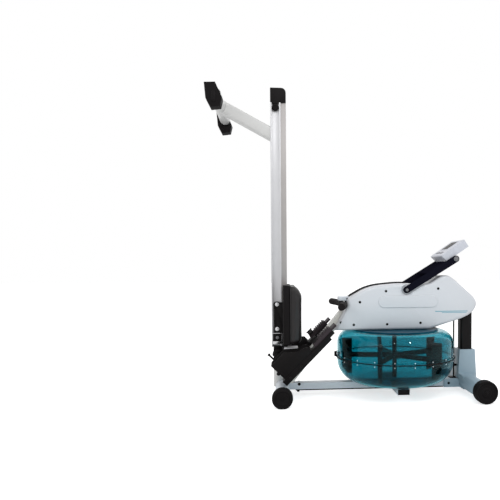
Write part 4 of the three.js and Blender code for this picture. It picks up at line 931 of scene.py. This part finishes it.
# Profiles of (radius, reach from the machine's middle) for what stands on its sides
CAP_RINGS = [(0, 234.4), (9, 234.4), (9, 236.8), (12, 237.4), (26, 237.4), (27, 236.6), (27, 235.6), (29, 235.6),
             (29, 236.6), (30, 237.4), (33, 237.4), (34.5, 236.4), (35, 234.4)]
TYRE = [(0, 212), (14, 212), (14, 214), (40, 214), (42, 212.6), (45, 212.4), (46.6, 213.4), (47.6, 216), (48, 220),
        (48, 229), (47.2, 229.6), (47.2, 232.4), (48, 233), (48, 242), (47.6, 246), (46.4, 248.6), (44, 250),
        (41, 249.6), (40, 247), (38.6, 245.6), (22, 245.2), (19, 246.8), (17.6, 248.6), (15.5, 249.2), (9.6, 249.2),
        (9, 248.4), (9, 246), (0, 246)]
TREAD = [(3.6, 19.4), (13.6, 19.4), (15.2, 20), (15.4, 20.8), (14.9, 21.6), (14.9, 22.6), (15.4, 23.4),
         (15.2, 24.2), (13.6, 24.7), (6.2, 24.7), (6, 24.2), (3.6, 24.2), (3.6, 19.4)]
BUMPER = [(0, 19.4), (14.5, 19.4), (15, 20.2), (15, 27.6), (13.8, 29.8), (11, 30.8), (7.4, 31), (7, 29.6), (0, 29.6)]
LOW_PIVOT = [(0, 92.8), (5.8, 92.8), (6.2, 93.3), (5.8, 94), (4.2, 94.8), (2.6, 95), (2.2, 93.8), (0, 93.8)]
TOP_PIVOT = [(0, 88), (10.2, 88), (10.6, 88.6), (10.4, 90), (8.6, 90.6), (7.6, 89.6), (6.6, 89.6), (6, 90.6),
             (2.2, 91), (0, 91)]
REAR_FOOT_END = 205


class ROWER_OT_feet(Builder, bpy.types.Operator):
    """Finish the stabilisers' ends, the front discs and the tank arms' plugs"""
    bl_idname = "rower.feet"
    bl_label = "Stabilisers"

    def build(self, scene):
        for side, sign in SIDES:
            ring = turned("mid_cap_face_" + side, CAP_RINGS, 0, 40, sign, 48)
            given(softened(ring, 30), "frame", "black_rubber")
            self.rear_strip(side, sign)
            self.wheel(side, sign)
            self.arm_plug(side, sign)

    def rear_strip(self, side, sign):
        """The oval strip on the end of a rear foot, and its fixing screw."""
        outline = side_outline((-268, 1198), (-250, 1242), 8.9, (REAR_FOOT_END - 0.8) * sign)
        strip = rounded(pressed("rear_foot_strip_" + side, outline, (0, 0.0026 * sign, 0)), 0.0012, 3, 40)
        screw = side_bolt("rear_foot_screw_" + side, -259, REAR_FOOT_END + 1.2, 1208, sign, 0.0034, 0.002, 24)
        given(softened(joined("rear_foot_strip_" + side, [strip, screw]), 40), "rail", "black_plastic")

    def wheel(self, side, sign):
        disc = turned("wheel_disc_" + side, TYRE, FRONT_X, WHEEL_Z, sign, 72)
        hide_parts("wheel_" + side)
        given(softened(disc, 28), "wheel_" + side, "black_rubber")
        cap = side_bolt("wheel_bolt_" + side, FRONT_X, 245.8, WHEEL_Z, sign, 0.0068, 0.0038)
        given(cap, "wheel_" + side, "black_paint")

    def arm_plug(self, side, sign):
        """The ribbed plug in the open end of a tank arm."""
        core = side_slab("arm_plug_core", (477.4, 522.6), (158, 170.4), (30.4, 49.6), sign, 0.0012)
        lip = side_slab("arm_plug_lip", (475.2, 524.8), (169.9, 172.6), (28.2, 51.8), sign, 0.0011, 3)
        given(softened(joined("tank_arm_plug_" + side, [core, lip])), "frame", "black_plastic")


PAD_LOW, PAD_HIGH, PAD_HALF, PAD_BACK, PAD_FRONT = 238.6, 482.4, 149, 34.6, 80.2
PAD_CORNER, VOXEL, MOST_PUFF = 22, 0.004, 0.004
# Share of the pad's depth, and how far its high end, low end and sides are drawn in there, in millimetres
PAD_TIERS = ((0, 0, 0, 0), (0.38, 0, 0, 1), (0.48, 12, 1, 6), (0.68, 15, 3, 7), (0.8, 27, 8, 13), (0.93, 35, 14, 19),
             (1, 44, 26, 30))
PIPING_RADIUS, PIPING_IN, PIPING_CORNER = 2.7, 1.5, 20
# The two sitting hollows and the channel between them, in metres
HOLLOW_APART, HOLLOW_WIDE, HOLLOW_LONG, HOLLOW_DEEP = 0.066, 0.05, 0.075, 0.0045
CHANNEL_WIDE, CHANNEL_HALF, CHANNEL_FADE, CHANNEL_DEEP = 0.014, 0.12, 0.02, 0.0025
CUSHION_FRAMES = 20
CLOTH = {"quality": 6, "mass": 0.4, "tension_stiffness": 18, "compression_stiffness": 18, "shear_stiffness": 6,
         "bending_stiffness": 1.2, "use_pressure": True, "uniform_pressure_force": 4}
ROLLER_X = -23


def tiered(depth):
    """How far the pad's ends and sides are drawn in at this share of its depth."""
    for first, second in zip(PAD_TIERS, PAD_TIERS[1:]):
        if depth <= second[0]:
            share = (depth - first[0]) / (second[0] - first[0])
            return [a + (b - a) * share for a, b in zip(first[1:], second[1:])]
    return PAD_TIERS[-1][1:]


def seat_outline(x, inset, corner, steps):
    """The pad's outline with round corners, seen from above the seat."""
    points = round_corners((-PAD_HALF + inset[0], PAD_LOW + inset[1]), (PAD_HALF - inset[0], PAD_HIGH - inset[1]),
                           corner, steps)
    return [place(x, y, z) for y, z in points]


class ROWER_OT_seat(Builder, bpy.types.Operator):
    """Build the padded seat, its piping and the rollers and bolts of its carriage"""
    bl_idname = "rower.seat"
    bl_label = "Seat"

    def build(self, scene):
        self.cushion()
        self.piping()
        self.rollers()
        self.carriage_bolts()
        self.lower_bracket()

    def cushion(self):
        pad = pressed("seat_pad", seat_outline(PAD_BACK, (0, 0), PAD_CORNER, 8),
                      (MM * (PAD_FRONT - PAD_BACK), 0, 0))
        modified(pad, "REMESH", mode="VOXEL", voxel_size=VOXEL)
        self.stepped(pad)
        modified(pad, "SMOOTH", factor=0.5, iterations=1)
        rest = [vertex.co.copy() for vertex in pad.data.vertices]
        self.inflated(pad)
        low, high = place(PAD_BACK, -PAD_HALF, PAD_LOW), place(PAD_FRONT + 1.6, PAD_HALF, PAD_HIGH)
        for vertex, was in zip(pad.data.vertices, rest):
            move = vertex.co - was
            if move.length > MOST_PUFF:
                vertex.co = was + move.normalized() * MOST_PUFF
            vertex.co = [min(max(value, a), b) for value, a, b in zip(vertex.co, low, high)]
        modified(pad, "SMOOTH", factor=0.5, iterations=1)
        self.hollowed(pad)
        modified(pad, "SUBSURF", levels=1, render_levels=1)
        pad.name = "seat_pad"
        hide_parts("seat_cushion")
        given(softened(pad, 60), "seat", "seat_skin")

    def piping(self):
        """The welt in the seam between the pad and its base."""
        inset = (PIPING_RADIUS + PIPING_IN, PIPING_RADIUS)
        path = seat_outline(PAD_BACK + 1.6, inset, PIPING_CORNER, 6)
        welt = swept("seat_piping", [*path, path[0]], PIPING_RADIUS * MM, 12)
        given(softened(welt, 50), "seat", "seat_skin")

    def stepped(self, pad):
        """Draws the pad in towards its top, in the steps of its moulded tiers."""
        middle = place(0, 0, (PAD_LOW + PAD_HIGH) / 2).z
        half = 0.5 * MM * (PAD_HIGH - PAD_LOW)
        back, front = place(PAD_BACK, 0, 0).x, place(PAD_FRONT, 0, 0).x
        for vertex in pad.data.vertices:
            depth = min(max((vertex.co.x - back) / (front - back), 0), 1)
            high, low, side = tiered(depth)
            along = vertex.co.z - middle
            vertex.co.z = middle + along * (1 - MM * (high if along > 0 else low) / half)
            vertex.co.y *= 1 - side / PAD_HALF

    def inflated(self, pad):
        """Blows the cover out against its own stiffness."""
        picked(pad)
        cloth = pad.modifiers.new("Cloth", "CLOTH")
        for key, value in CLOTH.items():
            setattr(cloth.settings, key, value)
        cloth.settings.effector_weights.gravity = 0
        cloth.point_cache.frame_start = 1
        cloth.point_cache.frame_end = CUSHION_FRAMES
        scene = bpy.context.scene
        for number in range(1, CUSHION_FRAMES + 1):
            scene.frame_set(number)
        bpy.ops.object.modifier_apply(modifier=cloth.name)
        scene.frame_set(1)

    def hollowed(self, pad):
        """Presses the two sitting hollows and the shallow channel between them into the top."""
        low, top, middle = place(46, 0, 0).x, place(80.3, 0, 0).x, place(0, 0, 352).z
        for vertex in pad.data.vertices:
            height = (vertex.co.x - low) / (top - low)
            if height <= 0:
                continue
            across, along = vertex.co.y, vertex.co.z - middle
            bowl = sum(math.exp(-((across - side * HOLLOW_APART) / HOLLOW_WIDE) ** 2 - (along / HOLLOW_LONG) ** 2)
                       for side in (-1, 1))
            past = max(abs(along) - CHANNEL_HALF, 0)
            channel = math.exp(-(across / CHANNEL_WIDE) ** 2) * math.exp(-(past / CHANNEL_FADE) ** 2)
            vertex.co.x -= min(height, 1.0) * (HOLLOW_DEEP * bowl + CHANNEL_DEEP * channel)

    def rollers(self):
        for level, z in (("low", 293.3), ("high", 396.3)):
            for side, sign in SIDES:
                name = "roller_" + level + "_" + side
                wheel = turned(name + "_shown", TREAD, ROLLER_X, z, sign, 48)
                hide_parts(name)
                given(softened(wheel, 30), name, "roller_plastic")

    def carriage_bolts(self):
        for side, sign in SIDES:
            heads = [side_bolt("carriage_bolt", -21.7, 31.8, z, sign, 0.0066, 0.0068) for z in (293.7, 399.4)]
            given(joined("carriage_bolts_" + side, heads), "seat", "bright_steel")
        plates = [side_slab("seat_plate_lip", (-33, 2), (32, 33.4), (240, 282), sign, 0.0004) for sign in (-1, 1)]
        given(softened(joined("seat_side_plates", plates)), "seat", "black_paint")

    def lower_bracket(self):
        """The square washers with their bolts at the carriage's low end, and the plate under the seat."""
        for side, sign in SIDES:
            plate = side_slab("square_plate_" + side, (-41, 3.6), (33.3, 34.6), (228, 276), sign, 0.0005)
            given(softened(plate), "seat", "bright_steel")
            pad = side_slab("square_washer_" + side, (-40, -3.4), (34.4, 37.4), (240.5, 274.5), sign, 0.003, 4)
            given(softened(pad, 50), "seat", "black_plastic")
            head = side_bolt("square_bolt_" + side, -20.5, 37.2, 257, sign, 0.0054, 0.0042)
            given(head, "seat", "grey_steel")
        shelf = slab("fold_stop_plate", place(7.4, -24, 196), place(68, 24, 211), 0.0012)
        webs = [slab("fold_stop_web", place(7.4, y - 1.5, 191), place(66, y + 1.5, 196.4)) for y in (-22.5, 22.5)]
        given(softened(joined("fold_stop", [shelf, *webs])), "rail", "satin_steel")


def on_console(along, side, rise):
    """A point of the console before it is leaned back: along, across and off its pivot."""
    return place(ARM_HEAD[0] + along, side, ARM_HEAD[1] + rise)


def console_leaned(obj):
    return leaned(obj, on_console(0, 0, 0), CONSOLE_ANGLE)


def console_plate(name, low, high, corner, rise, thickness, edge, segments):
    """A plate with round corners that lies flat on the console, from its low to its high corner."""
    outline = [on_console(along, side, rise) for along, side in round_corners(low, high, corner)]
    plate = pressed(name, outline, (0, 0, thickness))
    return console_leaned(rounded(plate, edge, segments, 40))


class ROWER_OT_console(Builder, bpy.types.Operator):
    """Build the console's screen, keys and screws, and the pivots of its arm"""
    bl_idname = "rower.console"
    bl_label = "Console"

    def build(self, scene):
        rim = console_plate("console_rim", (1, -41), (71, 51), 7, 47.6, 0.0016, 0.0012, 4)
        given(softened(rim, 50), "console", "console_shell")
        window = console_plate("console_window", (7, -33), (65, 43), 3, 48.9, 0.0009, 0.0004, 2)
        given(softened(window, 50), "console", "screen_glass")
        for side, middle in (("near", -23), ("far", 23)):
            key = console_plate("key_" + side, (-26, middle - 17), (-14, middle + 17), 4.4, 43, 0.0073, 0.0014, 4)
            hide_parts("button_" + side)
            given(softened(key, 60), "button_" + side, "button_rubber")
        screws = [console_leaned(bolt_head("console_screw", on_console(along, side, 12.2), (0, 0, -1),
                                           0.0032, 0.0016, 20)) for along in (-26, 66) for side in (-60, 60)]
        given(joined("console_screws", screws), "console", "zinc_steel")
        for side, sign in SIDES:
            low = turned("low_pivot_" + side, LOW_PIVOT, *ARM_FOOT, sign, 36)
            given(softened(low, 30), "console_arm", "grey_steel")
            cap = turned("top_pivot_" + side, TOP_PIVOT, *ARM_HEAD, sign, 36)
            given(softened(cap, 30), "console_arm", "grey_steel")


GRIP_POINTS = ((238.1, 200), (250.1, 145), (262.1, 90), (262.1, 45))
CLAMP = [(12.9, -24), (14.6, -24), (15, -23.4), (15, -20.8), (13.9, -20.2), (13.9, 20.2), (15, 20.8), (15, 23.4),
         (14.6, 24), (12.9, 24), (12.9, -24)]
LOOP_RADIUS = 14.1


class ROWER_OT_handle(Builder, bpy.types.Operator):
    """Build the handle's steel core, its foam grips, the strap and the rest's screws"""
    bl_idname = "rower.handle"
    bl_label = "Handle"

    def build(self, scene):
        grips = []
        for sign in (1, -1):
            path = eased([place(x, y * sign, HANDLE_Z) for x, y in GRIP_POINTS], 3)
            grips.append(rounded(swept("handle_grip", path, 0.015, 32), 0.0034, 4, 50))
        core_path = eased([place(HANDLE_X, y, HANDLE_Z) for y in (-60, -20, 20, 60)], 1)
        core = swept("handle_core", core_path, 0.0128)
        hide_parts("handle_bar")
        given(softened(core, 40), "handle", "black_paint")
        grip = joined("handle_grips", grips)
        given(softened(grip, 40), "handle", "black_foam")
        clamp = spun("handle_clamp", metres(CLAMP), place(HANDLE_X, 0, HANDLE_Z), (0, 1, 0), 40)
        given(softened(clamp, 30), "handle", "black_plastic")
        self.strap()
        for side, sign in SIDES:
            head = side_bolt("handle_rest_screw_" + side, 284, 30.8, 421, sign, 0.0034, 0.0026, 24)
            given(head, "frame", "black_plastic")

    def strap(self):
        """The strap runs flat into the housing, with its sewn loop round the bar."""
        run = [place(x, 0, 395.7) for x in (276.5, 300, 340, 380, 420, 467.2)]
        tape = band("handle_strap_run", run, 0.04, 0.0026)
        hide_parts("handle_strap")
        given(tape, "handle", "black_webbing")
        loop = [place(x, 0, z) for x, z in arc((HANDLE_X, HANDLE_Z), LOOP_RADIUS, 12, 348, 28)]
        given(band("handle_strap_loop", loop, 0.039, 0.0009), "handle", "black_webbing")


def on_footrest(along, side, off):
    """A point on a footrest: up its slope, across it, and off its face."""
    (x, z), (run, rise) = FOOT_ORIGIN, FOOT_ALONG
    return place(x + along * run - off * rise, side, z + along * rise + off * run)


STRAP_ALONG, STRAP_MIDDLE, STRAP_HALF, STRAP_RISE, STRAP_FOOT = 207, 128, 37.2, 9.4, 45.6
STRAP_STEPS, STRAP_LEG = 20, (41, 43.6)
BUCKLE_TURN = math.radians(62)
BUCKLE_LOW, BUCKLE_HIGH = Vector((-0.0165, -0.011, -0.0024)), Vector((0.0165, 0.011, 0.0032))


class ROWER_OT_footrests(Builder, bpy.types.Operator):
    """Build the foot straps with their buckles, and the bolts of the footrests"""
    bl_idname = "rower.footrests"
    bl_label = "Footrests"

    def build(self, scene):
        for side, sign in SIDES:
            self.strap(side, sign)
            heads = [bolt_head("footrest_bolt", on_footrest(along, sign * 172.2, 12), (0, sign, 0), 0.0058, 0.0042)
                     for along in (34, 96)]
            given(joined("footrest_bolts_" + side, heads), "frame", "black_paint")

    def strap(self, side, sign):
        middle = STRAP_MIDDLE * sign
        leg = [(-STRAP_HALF, off) for off in STRAP_LEG]
        turns = (math.pi * i / STRAP_STEPS for i in range(STRAP_STEPS + 1))
        arch = [(-STRAP_HALF * math.cos(turn), STRAP_FOOT + STRAP_RISE * math.sin(turn)) for turn in turns]
        path = [on_footrest(STRAP_ALONG, middle + across, off)
                for across, off in (*leg, *arch, *((-across, off) for across, off in reversed(leg)))]
        tape = band("foot_strap_tape_" + side, path, 0.024, 0.0024, lift=-0.0012,
                    across=Vector((FOOT_ALONG[0], 0, FOOT_ALONG[1])))
        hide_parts("foot_strap_" + side)
        given(tape, "toe_" + side, "black_webbing")
        across, up = math.cos(BUCKLE_TURN), math.sin(BUCKLE_TURN)
        roll = sign * -math.atan2(STRAP_RISE * across, STRAP_HALF * up)
        spin = Matrix.Rotation(math.radians(-FOOT_ANGLE), 4, "Y") @ Matrix.Rotation(roll, 4, "X")
        at = on_footrest(STRAP_ALONG, middle + sign * STRAP_HALF * across, STRAP_FOOT + STRAP_RISE * up)
        buckle = slab("strap_buckle_" + side, BUCKLE_LOW, BUCKLE_HIGH, 0.0016, 3)
        buckle.matrix_world = Matrix.Translation(at) @ spin
        given(softened(fixed(buckle)), "toe_" + side, "black_plastic")


TRACK_STEP = -1.05
# Small bolts of the frame: name, x, reach from the middle, z and radius
FRAME_BOLTS = (("beam_bolt", 72.6, 19.7, 49, 0.0052), ("cover_screw", 741, 25, 39, 0.0046),
               ("neck_bolt", -17, 20.7, 96, 0.0062))
CLIP = [(0, 0), (5, 0), (5.4, 0.5), (5.4, 12.2), (4.8, 13), (0, 13)]


class ROWER_OT_fittings(Builder, bpy.types.Operator):
    """Fit the rail's bumpers, the painted shade on its track, and the small bolts and clip of the frame"""
    bl_idname = "rower.fittings"
    bl_label = "Fittings"

    def build(self, scene):
        self.track_side()
        for side, sign in SIDES:
            rubber = turned("rail_bumper_" + side, BUMPER, ROLLER_X, 1242.3, sign, 40)
            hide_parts("bumper_" + side)
            given(softened(rubber), "rail", "black_rubber")
            for name, x, reach, z, radius in FRAME_BOLTS:
                given(side_bolt(name + "_" + side, x, reach, z, sign, radius, radius * 0.7), "frame", "black_paint")
        nub = spun("rod_clip", metres(CLIP), place(788.5, 0, 116), (-1, 0, 0), 28)
        given(softened(nub), "frame", "black_plastic")

    def track_side(self):
        """The rail's narrower upper track takes a darker copy of the rail's metal, as painted shade on its recessed
        side.
        """
        rail = bpy.data.objects["rail_shown"]
        rail.data.materials.append(finished("shaded_track_metal"))
        step = place(TRACK_STEP, 0, 0).x
        for face in rail.data.polygons:
            if face.center.x > step:
                face.material_index = 1


FLOOR_SIZE, FLOOR_DROP, LAMP_AIM = 40, 0.0004, Vector((0, 0, 0.55))
WHITE, TEAL_LIGHT = (1, 1, 1), (0.2, 0.75, 0.9)
FLOOR_GLOW, FLOOR_COLOUR = 0.62, shade(0.985, 0.985, 0.985)


def area_lamp(name, where, aim, size, power, colour=WHITE):
    bpy.ops.object.light_add(type="AREA", location=where)
    lamp = bpy.context.object
    lamp.name = name
    lamp.data.energy, lamp.data.size, lamp.data.color = power, size, colour
    lamp.visible_transmission = False
    lamp.rotation_euler = (aim - Vector(where)).to_track_quat("-Z", "Y").to_euler()
    return lamp


class ROWER_OT_stage(Builder, bpy.types.Operator):
    """Add the floor, the lamps and the camera"""
    bl_idname = "rower.stage"
    bl_label = "Stage"

    def build(self, scene):
        stage = scene.rower_stage
        picked(None)
        bpy.ops.mesh.primitive_plane_add(size=FLOOR_SIZE, location=(0, 0, -FLOOR_DROP))
        floor = bpy.context.object
        floor.name = "studio_floor"
        floor.data.materials.append(studio_floor())
        area_lamp("key_lamp", (-5.2, -4.2, 3.4), LAMP_AIM, 4.0, stage.key)
        area_lamp("fill_lamp", (2.6, -1.4, 1.9), LAMP_AIM, 2.2, stage.fill)
        area_lamp("back_lamp", (0.4, 2.4, 2.6), LAMP_AIM, 2.4, stage.fill)
        # The tank's own teal light on the shells round it, and two small lamps for its glints
        accents = (
            area_lamp("tank_glow", place(470, -560, 130), place(500, -80, 345), 0.5, stage.glow, TEAL_LIGHT),
            area_lamp("glint_left", place(150, -1500, 2100), place(420, -200, 250), 0.12, stage.glint),
            area_lamp("glint_right", place(1100, -1300, 2000), place(600, -200, 250), 0.12, stage.glint),
        )
        for lamp in accents:
            lamp.visible_camera = False
        surroundings(stage.sky)
        photo_camera(stage.lens)
        scene.view_settings.view_transform = "Standard"


def studio_floor():
    """Near-white floor that keeps the machine's shadow."""
    material, t, shader, at = principled("Studio floor", {"Roughness": 0.85})
    tint = t.effect(mottled_colour, {"Vector": at, "Colour": FLOOR_COLOUR, "Variation": 0.004, "Scale": 2.0})["Colour"]
    path = t.node("ShaderNodeLightPath").outputs
    seen = t.maths("MAXIMUM", path["Is Camera Ray"], path["Is Transmission Ray"])
    glow = t.mixed(seen, (0, 0, 0, 1), (FLOOR_GLOW, FLOOR_GLOW, FLOOR_GLOW, 1))
    t.fed(shader, {"Base Color": tint, "Emission Color": glow, "Emission Strength": 1.0})
    return material


def surroundings(strength):
    """White behind the machine and in its reflections, and an even light from all round."""
    world = bpy.data.worlds.new("Studio")
    bpy.context.scene.world = world
    world.use_nodes = True
    t = Tree(world.node_tree)
    path = t.node("ShaderNodeLightPath").outputs
    thrown = t.maths("MAXIMUM", path["Is Glossy Ray"], path["Is Transmission Ray"])
    seen = t.maths("MAXIMUM", path["Is Camera Ray"], thrown)
    level = t.ranged(seen, 0.0, 1.0, strength, 1.0)
    t.fed(world.node_tree.nodes["Background"], {"Color": (1, 1, 1, 1), "Strength": level})


CAMERA_SHIFT, CAMERA_PLACE, CAMERA_TURNS = (-0.15, 0.069), (3.9, -2140.4, 544.7), (4.95, -1.644, -0.236)


def photo_camera(lens):
    """The photograph's place and direction, for its square picture."""
    data = bpy.data.cameras.new("photo_camera")
    data.sensor_width, data.lens = 36, lens
    data.shift_x, data.shift_y = CAMERA_SHIFT
    camera = linked("photo_camera", data)
    camera.location = place(*CAMERA_PLACE)
    yaw, pitch, roll = (math.radians(value) for value in CAMERA_TURNS)
    forward = Vector((math.sin(yaw) * math.cos(pitch), math.cos(yaw) * math.cos(pitch), math.sin(pitch)))
    level = Vector((math.cos(yaw), -math.sin(yaw), 0))
    up = level.cross(forward)
    right = level * math.cos(roll) + up * math.sin(roll)
    up = right.cross(forward)
    camera.rotation_euler = Matrix((right, up, -forward)).transposed().to_euler()
    bpy.context.scene.camera = camera


class ROWER_PT_panel(bpy.types.Panel):
    """Lists the rowing machine's pieces and settings"""
    bl_idname = "ROWER_PT_panel"
    bl_label = "Rowing machine"
    bl_space_type = "VIEW_3D"
    bl_region_type = "UI"
    bl_category = "Rowing machine"

    def draw(self, context):
        layout = self.layout
        for piece in PIECES:
            layout.operator(piece.bl_idname)
        for settings in (context.scene.rower_colours, context.scene.rower_sizes, context.scene.rower_stage):
            for name in settings.bl_rna.properties.keys():
                if name not in {"rna_type", "name"}:
                    layout.prop(settings, name)


PIECES = (
    ROWER_OT_frame,
    ROWER_OT_tank,
    ROWER_OT_housing,
    ROWER_OT_feet,
    ROWER_OT_seat,
    ROWER_OT_console,
    ROWER_OT_handle,
    ROWER_OT_footrests,
    ROWER_OT_fittings,
    ROWER_OT_stage,
)
CLASSES = (RowerColours, RowerSizes, RowerStage, *PIECES, ROWER_PT_panel)


def register():
    for made in CLASSES:
        bpy.utils.register_class(made)
    bpy.types.Scene.rower_colours = bpy.props.PointerProperty(type=RowerColours)
    bpy.types.Scene.rower_sizes = bpy.props.PointerProperty(type=RowerSizes)
    bpy.types.Scene.rower_stage = bpy.props.PointerProperty(type=RowerStage)


def unregister():
    del bpy.types.Scene.rower_stage
    del bpy.types.Scene.rower_sizes
    del bpy.types.Scene.rower_colours
    for made in reversed(CLASSES):
        bpy.utils.unregister_class(made)


def main():
    register()
    for piece in PIECES:
        group, name = piece.bl_idname.split(".")
        getattr(getattr(bpy.ops, group), name)()
    picked(None)


if __name__ == "__main__":
    main()
